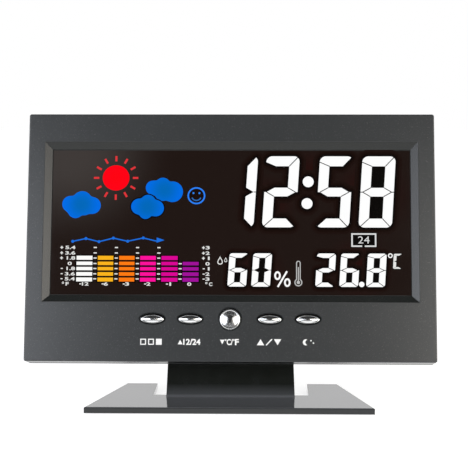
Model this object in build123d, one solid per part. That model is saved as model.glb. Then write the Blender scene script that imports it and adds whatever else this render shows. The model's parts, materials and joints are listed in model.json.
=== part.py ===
from build123d import *
import os
from math import cos, radians, sin, sqrt, tan

# A desk weather clock. A slim, wide display case leans back on a one-piece moulded stand,
# and lifts off it along the neck. Five chrome buttons press straight into the front face,
# and a door slides up off the battery bay at the back.
#
# Frame: millimetres, +Z up, +X to the viewer's right, and the display faces -Y. The origin
# is on the table, under the middle of the whole clock.
#
# The pieces of the case are drawn upright in a frame of their own: the front face lies in
# y = 0, y runs back into the case, and z runs up from the case's lower edge. They all lean
# back together at the end.

# Case: the two moulded shells
CASE_W = 170.0
CASE_H = 104.0
CASE_DEPTH = 15.0
CASE_CORNER_R = 0.9
FRONT_EDGE_R = 0.5
REAR_EDGE_R = 1.6
WALL = 2.2
BACK_WALL = 2.0
LEAN = 14.1
CASE_LIFT = 19.7

BEZEL_DEPTH = 8.6
PARTING_GAP = 0.5
PARTING_INSET = 0.4
LIP_HEIGHT = 1.4
LIP_WALL = 1.0
LIP_PLAY = 0.15
RIB_WIDE = 1.0
RIB_BACK = 6.6
TOP_RIBS_X = (-48.0, -32.0, -16.0, 16.0, 32.0, 48.0)
FOOT_RIBS_X = (-62.0, -44.0, -8.2, 8.2, 44.0, 62.0)
FOOT_RIBS_TOP = 9.5

# Screen surround: a bevelled recess with the lens behind its inner edge
SCREEN_Z = 58.4
SURROUND_W = 156.1
SURROUND_H = 67.4
BEVEL_W = 2.9
RECESS = 2.1
LENS_FRONT = 2.6
LENS_THICK = 1.5
LENS_LAP = 1.8
LENS_PLAY = 0.2
FRAME_BACK = 4.2
FRAME_WALL = 3.0

# Buttons, left to right: four oval caps and a round one in the middle
BUTTON_Z = 17.7
BUTTON_NAMES = ("outer_left", "inner_left", "centre", "inner_right", "outer_right")
BUTTON_X = (-32.1, -16.4, 0.0, 16.4, 32.1)
OVAL_RX = 4.95
OVAL_RZ = 1.95
ROUND_R = 4.3
CAP_GAP = 0.38
CAP_PROUD = 1.0
CAP_DOME = 0.65
DOME_SPREAD = 1.25
SINK_WIDER = 0.42
SINK_DEEP = 0.4
COLLAR_WALL = 1.0
FLANGE_LAP = 0.95
FLANGE_Y = 4.3
FLANGE_THICK = 0.7
STEM_R = 1.8

# Switches on the board
SWITCH_SIDE = 6.2
SWITCH_HIGH = 3.5
PLUNGER_R = 1.7
PLUNGER_PLAY = 0.05
PLUNGER_HIGH = 1.5
PLUNGER_SUNK = 1.0
SWITCH_HOLE = 1.7
SWITCH_LEG = (0.8, 5.2, 0.6)

# Display stack
GLASS_W = 152.0
GLASS_H = 65.0
GLASS_LEDGE = 2.5
GLASS_FRONT = 4.35
GLASS_PLATE = 1.05
GUIDE_W = 146.0
GUIDE_H = 58.0
FILM_THICK = 0.2
GUIDE_THICK = 2.4
GUIDE_THINS = 0.7
STACK_GAP = 0.1
HOLDER_FRONT = 4.3
HOLDER_WALL = 1.2
HOLDER_PLAY = 0.2
HOLDER_RECESS = (26.0, 44.0)
HOLDER_RECESS_X = (-52.0, -18.0, 18.0, 52.0)
HOLDER_RECESS_DEEP = 0.35
LED_COUNT = 6
LED_PITCH = 9.4
LED_LONG = 3.4
LED_DEEP = 1.0
LED_BOARD = (0.9, 54.0)
LED_SPACE = 2.4
ZEBRA_LONG = 138.0
ZEBRA_THICK = 1.8

# Circuit board
BOARD_FRONT = 10.4
BOARD_THICK = 1.2
BOARD_W = 142.0
BOARD_Z = (11.0, 99.0)
BLOB_AT = (-56.0, 70.0)
BLOB_R = 6.5
BLOB_HIGH = 1.1
CRYSTAL_AT = (-40.0, 84.0)
CRYSTAL_R = 0.66
CRYSTAL_LONG = 6.0
BOARD_SCREWS = ((-64.0, 96.0), (64.0, 96.0), (-24.2, 13.8), (24.2, 13.8))
BOARD_BOSS_R = 2.4
BOARD_SCREW_LONG = 7.0
BOARD_HEAD_HIGH = 1.2

# Case screws
CASE_SCREWS = ((-76.5, 97.0), (76.5, 97.0), (-76.5, 7.0), (76.5, 7.0))
CASE_BOSS_R = 3.8
BOSS_JOINT = 9.0
BORE_FLOOR = 3.2
SHANK_R = 1.3
SHANK_ROOM = 0.2
SCREW_PLAY = 0.03
SHANK_LONG = 8.6
HEAD_R = 2.4
HEAD_HIGH = 1.4
COUNTERBORE_R = 2.9
COUNTERBORE_DEEP = 2.6
BOSS_GAP = 0.1

# Raised block on the back: it holds the cells, the power socket, the buzzer and the neck
BLOCK_W = 92.0
BLOCK_Z = (5.0, 80.0)
BLOCK_DEPTH = 26.4
BLOCK_WALL = 2.0
BLOCK_DRAFT = 5.0
BLOCK_R = 5.0
BLOCK_EDGE_R = 1.2

# Battery bay and its cells, AAA size
CELL_R = 5.15
CELL_LONG = 43.7
CELL_EDGE = 0.5
NUB_R = 1.9
NUB_LONG = 0.8
CELL_PITCH = 10.9
CELL_Y = 19.0
BAY_X = 26.0
BAY_Z = (38.5, 72.5)
BAY_FLOOR = 13.5
BAY_FLOOR_THICK = 1.5
BAY_WALL = 1.8
BED_WALL = 1.5
CONTACT_THICK = 0.35
CONTACT_Y = (15.5, 22.5)
CONTACT_HALF = 4.8
BUMP_FOOT = 5.2
BUMP_TOP = 3.0
BUMP_WIDE = 3.6
LEAF_HALF = 4.2
LEAF_WIDE = 4.4
TAB_REACH = 1.6
TAB_WIDE = 2.0
TAB_THICK = 0.4

# Battery door and its rails
DOOR_Z = (37.0, 79.6)
DOOR_HALF = 28.5
DOOR_FACE = 26.2
DOOR_PLATE = 1.6
DOOR_LIP = 1.5
DOOR_LIP_THICK = 1.2
DOOR_PLAY = 0.2
DOOR_EDGE_R = 0.5
GRIP_RIBS = 5
GRIP_FROM = 6.0
GRIP_PITCH = 2.2
GRIP_RIB = (16.0, 1.0)
GRIP_PROUD = 0.4

# Power socket, buzzer, sensor and openings in the back
JACK_Z = 55.0
JACK_BODY = (11.4, 10.0, 9.0)
JACK_NOSE = 2.0
JACK_PLAY = 0.2
JACK_BORE_R = 2.75
JACK_BORE_DEEP = 8.0
JACK_PIN_R = 1.05
JACK_RIB = 1.1
JACK_HOLE_R = 3.6
BUZZER_AT = (-37.6, 55.0)
BUZZER_R = 4.9
BUZZER_HIGH = 6.5
BUZZER_BASE = 0.8
BUZZER_COLLAR = 4.0
BUZZER_WALL = 1.2
BUZZER_EYE_R = 1.2
SENSOR_SIDE = 3.0
SENSOR_HIGH = 1.1
SENSOR_EYE_R = 0.7
SOUND_SLOTS = (4.0, 6.4, 4.0)
SOUND_PITCH = 2.2
SOUND_WIDE = 1.1
VENT_X = 60.0
VENT_Z0 = 22.0
VENT_PITCH = 3.6
VENT_COUNT = 6
VENT_LONG = 14.0
VENT_WIDE = 1.6
LEAD_R = 0.6
LEAD_APART = 2.5

# Stand
BASE_FRONT_W = 117.7
BASE_REAR_W = 91.6
BASE_DEPTH = 50.7
BASE_THICK = 2.5
BASE_AHEAD = 11.4
BASE_EDGE_R = 0.4
NOTCH_W = 65.1
NOTCH_FROM = 26.0
NECK_FRONT = 15.3
NECK_THICK = 3.0
NECK_FOOT_W = 53.8
NECK_TIP_Z = 32.0
NECK_SIDE_TAPER = 2.0
NECK_FOOT_R = 3.0
NECK_TIP_R = 2.5
NECK_SUNK = 0.6
SOCKET_PLAY = 0.15
SOCKET_WALL = 2.1
MOUTH_FLARE = 0.6
SKIRT_WALL = 2.2
UNDERCUT = 0.9
BASE_RIBS = 3
BASE_RIB_PITCH = 13.0
BASE_RIB = 1.2
FOOT_R = 4.0
FOOT_THICK = 1.0
FOOT_PROUD = 0.5
FOOT_PAD_R = 5.2
FOOT_INSET = 7.5

# Depths that follow from the sizes above
LENS_BACK = LENS_FRONT + LENS_THICK
GLASS_STEP = GLASS_FRONT + GLASS_PLATE
GLASS_BACK = GLASS_STEP + GLASS_PLATE
FILM_FRONT = GLASS_BACK + STACK_GAP
GUIDE_FRONT = FILM_FRONT + FILM_THICK + STACK_GAP
GUIDE_BACK = GUIDE_FRONT + GUIDE_THICK
HOLDER_REAR = BOARD_FRONT - 0.05
BOARD_BACK = BOARD_FRONT + BOARD_THICK
INNER_BACK = CASE_DEPTH - BACK_WALL
SWITCH_FRONT = BOARD_FRONT - SWITCH_HIGH
PLUNGER_TIP = SWITCH_FRONT - PLUNGER_HIGH
SCREW_SEAT = CASE_DEPTH - COUNTERBORE_DEEP
DOOR_BACK = DOOR_FACE - DOOR_PLATE
LIP_FLOOR = DOOR_BACK - DOOR_LIP_THICK - DOOR_PLAY
WINDOW_W = SURROUND_W - 2 * BEVEL_W
WINDOW_H = SURROUND_H - 2 * BEVEL_W
BASE_TOP = BASE_THICK + FOOT_PROUD
NECK_FOOT_Z = (BASE_TOP - CASE_LIFT + NECK_FRONT * sin(radians(LEAN))) / cos(radians(LEAN))


# Helpers in the case's frame

def stand_up(sketch, y):
    """Stand a sketch drawn in (x, z) upright at depth y."""
    return Plane.XZ.offset(-y) * sketch


def prism(sketch, y0, y1):
    """Carry an upright outline from depth y0 back to depth y1."""
    return extrude(stand_up(sketch, y1), amount=y1 - y0)


def blend(sketch0, y0, sketch1, y1):
    """Join two upright outlines at two depths with straight walls."""
    return loft([stand_up(sketch0, y0), stand_up(sketch1, y1)])


def cuboid(x, y, z):
    """A block between the two limits given for each axis."""
    size = [high - low for low, high in (x, y, z)]
    centre = [(low + high) / 2 for low, high in (x, y, z)]
    return Pos(*centre) * Box(*size)


def about(middle, size):
    """The two limits of a size centred on a middle."""
    return middle - size / 2, middle + size / 2


def between(side, a, b):
    """Two limits on one side of the centre plane, in rising order."""
    return tuple(sorted((side * a, side * b)))


def rod(x, z, radius, y0, y1):
    """A round rod along the case's depth."""
    return prism(Pos(x, z) * Circle(radius), y0, y1)


def facing_back(shape, x, y, z):
    """Turn a piece built along +Z so that it points out of the back, and place it."""
    return Pos(x, y, z) * Rot(-90, 0, 0) * shape


def around_screen(width, height, radius=0.0):
    """A rectangle centred on the screen."""
    shape = RectangleRounded(width, height, radius) if radius else Rectangle(width, height)
    return Pos(0, SCREEN_Z) * shape


def case_outline(inset=0.0):
    """The case's front outline, drawn in by an inset."""
    radius = max(CASE_CORNER_R - inset, 0.4)
    return Pos(0, CASE_H / 2) * RectangleRounded(CASE_W - 2 * inset, CASE_H - 2 * inset, radius)


def cap_outline(name, grow=0.0):
    """A button's outline about its own centre: round in the middle of the row, else oval."""
    if name == "centre":
        return Circle(ROUND_R + grow)
    return Ellipse(OVAL_RX + grow, OVAL_RZ + grow)


def at_button(x, sketch):
    return Pos(x, BUTTON_Z) * sketch


# The front shell

def button_well(name, x):
    """The countersunk hole that a cap travels in."""
    rim = at_button(x, cap_outline(name, CAP_GAP + SINK_WIDER))
    hole = at_button(x, cap_outline(name, CAP_GAP))
    sink = blend(rim, 0, hole, SINK_DEEP)
    return sink + prism(hole, SINK_DEEP, FRAME_BACK)


def button_collar(name, x):
    """The guide wall round a button's hole, on the inside."""
    return prism(at_button(x, cap_outline(name, CAP_GAP + COLLAR_WALL)), WALL, FRAME_BACK)


def screen_opening():
    """The bevelled recess, the window's upright edge and the pocket that seats the lens."""
    outer = around_screen(SURROUND_W, SURROUND_H)
    inner = around_screen(WINDOW_W, WINDOW_H)
    seat = 2 * (LENS_LAP + LENS_PLAY)
    pocket = around_screen(WINDOW_W + seat, WINDOW_H + seat)
    bevel = blend(outer, 0, inner, RECESS)
    return bevel + prism(inner, RECESS, LENS_FRONT) + prism(pocket, LENS_FRONT, FRAME_BACK)


def bezel_ribs():
    """Thin stiffening ribs that tie the screen's frame and the lower wall to the shell."""
    frame_top = SCREEN_Z + WINDOW_H / 2 + LENS_LAP + FRAME_WALL
    rows = ((TOP_RIBS_X, (frame_top, CASE_H - WALL)), (FOOT_RIBS_X, (WALL, FOOT_RIBS_TOP)))
    ribs = Part()
    for places, span in rows:
        for x in places:
            ribs += cuboid(about(x, RIB_WIDE), (WALL, RIB_BACK), span)
    return ribs


def front_bezel():
    shell = prism(case_outline(), 0, BEZEL_DEPTH)
    shell = fillet(shell.edges().group_by(Axis.Y)[0], FRONT_EDGE_R)
    shell -= prism(case_outline(WALL), WALL, BEZEL_DEPTH)
    frame_w = WINDOW_W + 2 * (LENS_LAP + FRAME_WALL)
    frame_h = WINDOW_H + 2 * (LENS_LAP + FRAME_WALL)
    shell += prism(around_screen(frame_w, frame_h), WALL, FRAME_BACK)
    for name, x in zip(BUTTON_NAMES, BUTTON_X):
        shell += button_collar(name, x)
    shell += bezel_ribs()
    for x, z in CASE_SCREWS:
        shell += rod(x, z, CASE_BOSS_R, WALL, BOSS_JOINT - BOSS_GAP)
    for x, z in BOARD_SCREWS:
        shell += rod(x, z, BOARD_BOSS_R, WALL, BOARD_FRONT)
    shell -= screen_opening()
    for name, x in zip(BUTTON_NAMES, BUTTON_X):
        shell -= button_well(name, x)
    for x, z in CASE_SCREWS + BOARD_SCREWS:
        shell -= rod(x, z, SHANK_R + SCREW_PLAY, BORE_FLOOR, BOARD_FRONT)
    return shell


def screen_lens():
    outline = around_screen(WINDOW_W + 2 * LENS_LAP, WINDOW_H + 2 * LENS_LAP)
    return prism(outline, LENS_FRONT, LENS_BACK)


# The display stack

def lcd_glass():
    """Two bonded plates: the front one is taller, and its ledges carry the contacts."""
    front = prism(around_screen(GLASS_W, GLASS_H), GLASS_FRONT, GLASS_STEP)
    rear = prism(around_screen(GLASS_W, GLASS_H - 2 * GLASS_LEDGE), GLASS_STEP, GLASS_BACK)
    return front + rear


def colour_film():
    return prism(around_screen(GUIDE_W, GUIDE_H), FILM_FRONT, FILM_FRONT + FILM_THICK)


def light_guide():
    """A clear plate whose back thins away from the lamps, in a long wedge."""
    plate = cuboid(about(0, GUIDE_W), (GUIDE_FRONT, GUIDE_BACK), about(SCREEN_Z, GUIDE_H))
    wedge = Polyline((GUIDE_W / 2, GUIDE_BACK), (-GUIDE_W / 2, GUIDE_BACK - GUIDE_THINS),
                     (-GUIDE_W / 2, GUIDE_BACK), close=True)
    return plate - extrude(make_face(wedge), amount=CASE_H)


def backlight_leds():
    """A narrow lamp board beside the light guide, with its row of lamps."""
    lamp_face = GUIDE_W / 2 + STACK_GAP
    board_face = lamp_face + LED_DEEP
    thick, long = LED_BOARD
    depth = (GUIDE_FRONT, GUIDE_BACK)
    strip = cuboid((board_face, board_face + thick), depth, about(SCREEN_Z, long))
    for i in range(LED_COUNT):
        z = SCREEN_Z + (i - (LED_COUNT - 1) / 2) * LED_PITCH
        strip += cuboid((lamp_face, board_face), depth, about(z, LED_LONG))
    return strip


def zebra_z(side):
    return SCREEN_Z + side * (GLASS_H / 2 - GLASS_LEDGE / 2)


def zebra_strip(side):
    """An elastomer connector between a ledge of the glass and the board."""
    depth = (GLASS_STEP, BOARD_FRONT)
    return cuboid(about(0, ZEBRA_LONG), depth, about(zebra_z(side), ZEBRA_THICK))


def lcd_holder():
    """The white tray that carries the glass, the film and the light guide."""
    room_w, room_h = GLASS_W + 2 * HOLDER_PLAY, GLASS_H + 2 * HOLDER_PLAY
    outer = around_screen(room_w + 2 * HOLDER_WALL, room_h + 2 * HOLDER_WALL)
    tray = prism(outer, HOLDER_FRONT, HOLDER_REAR)
    tray -= prism(around_screen(room_w, room_h), HOLDER_FRONT, GLASS_BACK)
    tray -= cuboid((-GUIDE_W / 2 - HOLDER_PLAY, GUIDE_W / 2 + LED_SPACE),
                   (GLASS_BACK, GUIDE_BACK + STACK_GAP), about(SCREEN_Z, GUIDE_H + 2 * HOLDER_PLAY))
    for side in (-1, 1):
        slot = about(zebra_z(side), ZEBRA_THICK + HOLDER_PLAY)
        tray -= cuboid(about(0, ZEBRA_LONG + 2 * HOLDER_PLAY), (GLASS_STEP, HOLDER_REAR), slot)
    recess = Rectangle(*HOLDER_RECESS)
    for x in HOLDER_RECESS_X:
        tray -= prism(Pos(x, SCREEN_Z) * recess, HOLDER_REAR - HOLDER_RECESS_DEEP, HOLDER_REAR)
    return tray


# The circuit board and what sits on it

def main_board():
    low, high = BOARD_Z
    board = cuboid(about(0, BOARD_W), (BOARD_FRONT, BOARD_BACK), (low, high))
    for x, z in BOARD_SCREWS:
        board -= rod(x, z, SHANK_R + SHANK_ROOM, BOARD_FRONT, BOARD_BACK)
    return board


def controller_blob():
    """The low resin drop over the chip: a cap cut from a large sphere."""
    sphere_r = (BLOB_R ** 2 + BLOB_HIGH ** 2) / (2 * BLOB_HIGH)
    drop = Pos(0, 0, BLOB_HIGH - sphere_r) * Sphere(sphere_r)
    drop &= Pos(0, 0, BLOB_HIGH / 2) * Box(3 * BLOB_R, 3 * BLOB_R, BLOB_HIGH)
    return facing_back(drop, BLOB_AT[0], BOARD_BACK, BLOB_AT[1])


def clock_crystal():
    """A watch crystal's little can, lying on the board."""
    place = Pos(CRYSTAL_AT[0], BOARD_BACK + CRYSTAL_R, CRYSTAL_AT[1])
    return place * Rot(0, 90, 0) * Cylinder(CRYSTAL_R, CRYSTAL_LONG)


def tact_switches():
    """Five square switch housings with round holes for their plungers."""
    reach, span, thick = SWITCH_LEG
    group = []
    for x in BUTTON_X:
        body = prism(at_button(x, Rectangle(SWITCH_SIDE, SWITCH_SIDE)), SWITCH_FRONT, BOARD_FRONT)
        body += cuboid(about(x, SWITCH_SIDE + 2 * reach), (BOARD_FRONT - thick, BOARD_FRONT),
                       about(BUTTON_Z, span))
        hole = PLUNGER_R + PLUNGER_PLAY
        body -= rod(x, BUTTON_Z, hole, SWITCH_FRONT, SWITCH_FRONT + SWITCH_HOLE)
        group.append(body)
    return Compound(group)


def switch_plunger(x):
    return rod(x, BUTTON_Z, PLUNGER_R, PLUNGER_TIP, SWITCH_FRONT + PLUNGER_SUNK)


def button_cap(name, x):
    """A domed cap with a flange that stops behind its collar and a stem to the switch."""
    if name == "centre":
        rx, rz = ROUND_R, ROUND_R
    else:
        rx, rz = OVAL_RX, OVAL_RZ
    rise = CAP_DOME / (1 - sqrt(1 - 1 / DOME_SPREAD ** 2))
    dome = scale(Sphere(1), by=(rx * DOME_SPREAD, rise, rz * DOME_SPREAD))
    dome = Pos(x, rise - CAP_PROUD, BUTTON_Z) * dome
    sleeve = prism(at_button(x, cap_outline(name)), rise - CAP_PROUD, FLANGE_Y)
    front = prism(at_button(x, cap_outline(name)), -CAP_PROUD, rise - CAP_PROUD) & dome
    flange = prism(at_button(x, cap_outline(name, FLANGE_LAP)), FLANGE_Y, FLANGE_Y + FLANGE_THICK)
    stem = rod(x, BUTTON_Z, STEM_R, FLANGE_Y, PLUNGER_TIP)
    return front + sleeve + flange + stem


def sensor():
    """The temperature and humidity chip: a flat case with its round sensing window."""
    z = VENT_Z0 + VENT_PITCH * (VENT_COUNT - 1) / 2
    back = BOARD_BACK + SENSOR_HIGH
    chip = cuboid(about(-VENT_X, SENSOR_SIDE), (BOARD_BACK, back), about(z, SENSOR_SIDE))
    return chip - rod(-VENT_X, z, SENSOR_EYE_R, back - 0.4, back)


def buzzer():
    """A round sounder held against the inside of the back, with its small sound hole."""
    x, z = BUZZER_AT
    back = BLOCK_DEPTH - BLOCK_WALL
    front = back - BUZZER_HIGH
    can = rod(x, z, BUZZER_R, front, back)
    can += rod(x, z, BUZZER_R - BUZZER_BASE, front - BUZZER_BASE, front)
    return can - rod(x, z, BUZZER_EYE_R, back - 1.5, back)


# The power socket

def jack_x():
    """Where the socket's body meets the inside of the block's drafted side wall."""
    draw = (CELL_Y + JACK_BODY[1] / 2 - CASE_DEPTH) * tan(radians(BLOCK_DRAFT))
    return BLOCK_W / 2 - BLOCK_WALL - draw


def jack_round(radius, x0, x1):
    """A round form on the socket's axis, which lies along X."""
    return Pos((x0 + x1) / 2, CELL_Y, JACK_Z) * Rot(0, 90, 0) * Cylinder(radius, x1 - x0)


def dc_jack():
    """A square-bodied socket with a round nose and a blind bore."""
    long, deep, wide = JACK_BODY
    face = jack_x() - 0.1
    body = cuboid((face - long, face), about(CELL_Y, deep), about(JACK_Z, wide))
    body += jack_round(JACK_HOLE_R - JACK_PLAY, face - 0.3, face + JACK_NOSE)
    return body - jack_round(JACK_BORE_R, face - JACK_BORE_DEEP, face + JACK_NOSE)


def jack_pin():
    """The metal centre pin, which stands on the bore's floor."""
    face = jack_x() - 0.1
    return jack_round(JACK_PIN_R, face - JACK_BORE_DEEP, face)


def jack_cradle():
    """Two ribs on the inside of the back that hold the socket between them."""
    long, deep, wide = JACK_BODY
    mouth = jack_x()
    inner_back = BLOCK_DEPTH - BLOCK_WALL
    ribs = Part()
    for side in (-1, 1):
        z = JACK_Z + side * (wide + JACK_PLAY + JACK_RIB) / 2
        ribs += cuboid((mouth - long + 1.0, mouth - 1.0), (CELL_Y, inner_back), about(z, JACK_RIB))
    return ribs


# Cells and contacts

def cell_z(i):
    return (BAY_Z[0] + BAY_Z[1]) / 2 + (i - 1) * CELL_PITCH


def battery(i):
    """One cell on its side: can, shoulder and raised plus end."""
    half = CELL_LONG / 2
    outline = Polyline((0, -half), (CELL_R, -half), (CELL_R, half - CELL_EDGE),
                       (CELL_R - CELL_EDGE, half), (NUB_R, half), (NUB_R, half + NUB_LONG),
                       (0, half + NUB_LONG), close=True)
    cell = revolve(Plane.XZ * make_face(outline), Axis.Z)
    turn = 90 if i % 2 == 0 else -90
    return Pos(0, CELL_Y, cell_z(i)) * Rot(0, turn, 0) * cell


def contact_plate(side, low, high):
    """A thin plate against one end wall of the bay."""
    return cuboid(between(side, BAY_X - CONTACT_THICK, BAY_X), CONTACT_Y, (low, high))


def plus_touch(side, z):
    """A pressed flat-topped bump that meets a cell's plus end."""
    top = side * (CELL_LONG / 2 + NUB_LONG)
    wall = side * (BAY_X - CONTACT_THICK)
    bump = Polyline((wall, z - BUMP_FOOT / 2), (top, z - BUMP_TOP / 2), (top, z + BUMP_TOP / 2),
                    (wall, z + BUMP_FOOT / 2), close=True)
    return prism(make_face(bump), *about(CELL_Y, BUMP_WIDE))


def minus_touch(side, z):
    """A bowed leaf that presses on a cell's minus end."""
    tip = side * CELL_LONG / 2
    wall = side * (BAY_X - CONTACT_THICK)
    root = LEAF_HALF - 1.4 * CONTACT_THICK
    outer = ThreePointArc((wall, z - LEAF_HALF), (tip, z), (wall, z + LEAF_HALF))
    inner = ThreePointArc((wall, z - root), (tip + side * CONTACT_THICK, z), (wall, z + root))
    ends = [Line(outer @ 0, inner @ 0), Line(outer @ 1, inner @ 1)]
    leaf = make_face(outer.edges() + inner.edges() + [end.edge() for end in ends])
    return prism(leaf, *about(CELL_Y, LEAF_WIDE))


def solder_tab(side, z):
    """The tab that passes through the bay's wall to take a lead."""
    x = between(side, BAY_X - CONTACT_THICK, BAY_X + BAY_WALL + TAB_REACH)
    return cuboid(x, about(CELL_Y, TAB_WIDE), about(z, TAB_THICK))


def battery_contact(side, i, touch):
    z = cell_z(i)
    plate = contact_plate(side, z - CONTACT_HALF, z + CONTACT_HALF)
    return plate + touch(side, z) + solder_tab(side, z)


def battery_link(side, minus_cell, plus_cell):
    """One strip that joins two neighbouring cells in series."""
    low, high = sorted((cell_z(minus_cell), cell_z(plus_cell)))
    strip = contact_plate(side, low - CONTACT_HALF, high + CONTACT_HALF)
    return strip + minus_touch(side, cell_z(minus_cell)) + plus_touch(side, cell_z(plus_cell))


# The rear shell

def drafted_block(inset, y0, y1):
    """The block between two depths: its walls draw in towards the back."""
    low, high = BLOCK_Z
    outline = RectangleRounded(BLOCK_W - 2 * inset, high - low - 2 * inset, BLOCK_R - 0.5 * inset)
    upright = Plane((0, y0, (low + high) / 2), x_dir=(-1, 0, 0), z_dir=(0, 1, 0))
    return extrude(upright * outline, amount=y1 - y0, taper=BLOCK_DRAFT)


def block_body():
    body = drafted_block(0.0, CASE_DEPTH, BLOCK_DEPTH)
    return fillet(body.edges().group_by(Axis.Y)[-1], BLOCK_EDGE_R)


def block_hollow():
    return drafted_block(BLOCK_WALL, INNER_BACK, BLOCK_DEPTH - BLOCK_WALL)


def neck_outline(play=0.0, foot=NECK_FOOT_Z):
    """The neck's tapered front outline in the case's frame, from its foot up to its tip."""
    slope = tan(radians(NECK_SIDE_TAPER))
    foot_half = NECK_FOOT_W / 2 - (foot - NECK_FOOT_Z) * slope + play
    tip_half = NECK_FOOT_W / 2 - (NECK_TIP_Z - NECK_FOOT_Z) * slope + play
    tip = NECK_TIP_Z + min(play, 0.1)
    corners = ((-foot_half, foot), (foot_half, foot), (tip_half, tip), (-tip_half, tip))
    return make_face(Polyline(*corners, close=True))


def neck_socket_block():
    """The wall round the neck's pocket, inside the raised block."""
    half = NECK_FOOT_W / 2 + SOCKET_WALL
    back = NECK_FRONT + NECK_THICK + SOCKET_PLAY + SOCKET_WALL
    return cuboid((-half, half), (INNER_BACK, back), (BLOCK_Z[0] + 0.5, NECK_TIP_Z + SOCKET_WALL))


def neck_pocket():
    """The room the neck slides into, open at the block's lower end, with a flared mouth."""
    play = SOCKET_PLAY
    front = NECK_FRONT - play
    back = NECK_FRONT + NECK_THICK + play
    pocket = prism(neck_outline(play, BLOCK_Z[0] - 2.0), front, back)
    mouth = NECK_FOOT_W + 2 * play
    lead_in = cuboid(about(0, mouth), (front, back + MOUTH_FLARE), about(BLOCK_Z[0], 2.0))
    return pocket + lead_in


def bay_walls():
    """The walls and floor of the battery bay, and the bed that its door slides on."""
    low, high = BAY_Z
    walls = cuboid(about(0, 2 * (BAY_X + BAY_WALL)), (BAY_FLOOR - BAY_FLOOR_THICK, DOOR_BACK),
                   (low - BAY_WALL, high + BAY_WALL))
    bed = cuboid(about(0, 2 * (DOOR_HALF + DOOR_LIP + DOOR_PLAY + BED_WALL)),
                 (LIP_FLOOR - BED_WALL, DOOR_BACK + DOOR_PLAY), (low - 3.5, BLOCK_Z[1] - BED_WALL))
    return walls + bed


def bay_room():
    """The space for the cells, and the grooves and the shallow bed for the door."""
    low, high = BAY_Z
    room = cuboid((-BAY_X, BAY_X), (BAY_FLOOR, DOOR_BACK), (low, high))
    past = BLOCK_Z[1] + 2.0
    foot = DOOR_Z[0] - DOOR_PLAY
    plate_half = DOOR_HALF + DOOR_PLAY
    lip_half = plate_half + DOOR_LIP
    room += cuboid((-plate_half, plate_half), (LIP_FLOOR, BLOCK_DEPTH + 1.0), (foot, past))
    room += cuboid((-lip_half, lip_half), (LIP_FLOOR, DOOR_BACK + DOOR_PLAY), (foot, past))
    for side, row in ((-1, 0), (1, 2)):
        x = between(side, BAY_X - BAY_WALL, BAY_X + 2 * BAY_WALL)
        room += cuboid(x, about(CELL_Y, TAB_WIDE + 0.4), about(cell_z(row), TAB_THICK + 0.6))
    return room


def vents():
    """Rows of slots in the back wall, one set of them behind the sensor."""
    group = Part()
    for side in (-1, 1):
        for i in range(VENT_COUNT):
            z = VENT_Z0 + i * VENT_PITCH
            across = about(side * VENT_X, VENT_LONG)
            group += cuboid(across, (INNER_BACK, CASE_DEPTH), about(z, VENT_WIDE))
    return group


def sound_slots():
    """Short slots in front of the sounder, the middle one the longest."""
    x, z = BUZZER_AT
    depth = (BLOCK_DEPTH - BLOCK_WALL, BLOCK_DEPTH)
    slots = Part()
    for i, long in enumerate(SOUND_SLOTS):
        place = z + (i - (len(SOUND_SLOTS) - 1) / 2) * SOUND_PITCH
        slots += cuboid(about(x, long), depth, about(place, SOUND_WIDE))
    return slots


def rear_cover():
    cover = prism(case_outline(), BEZEL_DEPTH, CASE_DEPTH)
    cover = fillet(cover.edges().group_by(Axis.Y)[-1], REAR_EDGE_R)
    groove = prism(case_outline(), BEZEL_DEPTH, BEZEL_DEPTH + PARTING_GAP)
    cover -= groove - prism(case_outline(PARTING_INSET), BEZEL_DEPTH, BEZEL_DEPTH + PARTING_GAP)
    lip = case_outline(WALL + LIP_PLAY)
    cover += prism(lip, BEZEL_DEPTH - LIP_HEIGHT, BEZEL_DEPTH + PARTING_GAP)
    cover -= prism(case_outline(WALL + LIP_PLAY + LIP_WALL), BEZEL_DEPTH - LIP_HEIGHT, INNER_BACK)
    cover += block_body()
    cover -= block_hollow()
    x, z = BUZZER_AT
    inner_back = BLOCK_DEPTH - BLOCK_WALL
    cover += bay_walls() + neck_socket_block() + jack_cradle()
    collar = (inner_back - BUZZER_COLLAR, inner_back)
    cover += rod(x, z, BUZZER_R + BUZZER_WALL, *collar)
    cover -= rod(x, z, BUZZER_R + 0.05, *collar)
    for x, z in CASE_SCREWS:
        cover += rod(x, z, CASE_BOSS_R, BOSS_JOINT, INNER_BACK)
    for x, z in CASE_SCREWS:
        cover -= rod(x, z, SHANK_R + SHANK_ROOM, BOSS_JOINT, SCREW_SEAT)
        cover -= rod(x, z, COUNTERBORE_R, SCREW_SEAT, CASE_DEPTH)
    cover -= bay_room()
    cover -= neck_pocket()
    cover -= vents() + sound_slots()
    cover -= jack_round(JACK_HOLE_R, jack_x() - 0.5, BLOCK_W / 2)
    return cover


def battery_door():
    """A plate with a sliding lip along each side and grip ribs across its lower end."""
    low, high = DOOR_Z
    plate = cuboid((-DOOR_HALF, DOOR_HALF), (DOOR_BACK, DOOR_FACE), (low, high))
    plate = fillet(plate.edges().filter_by(Axis.X).group_by(Axis.Y)[-1], DOOR_EDGE_R)
    lip_depth = (DOOR_BACK - DOOR_LIP_THICK, DOOR_BACK)
    for side in (-1, 1):
        lip = between(side, DOOR_HALF - DOOR_LIP, DOOR_HALF + DOOR_LIP)
        plate += cuboid(lip, lip_depth, (low, high))
    plate += cuboid((-BAY_X, BAY_X), lip_depth, (BAY_Z[1] + BAY_WALL + 0.7, high))
    for i in range(GRIP_RIBS):
        z = low + GRIP_FROM + GRIP_PITCH * i
        plate += prism(Pos(0, z) * Rectangle(*GRIP_RIB), DOOR_FACE, DOOR_FACE + GRIP_PROUD)
    return plate


# Screws and leads

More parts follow.
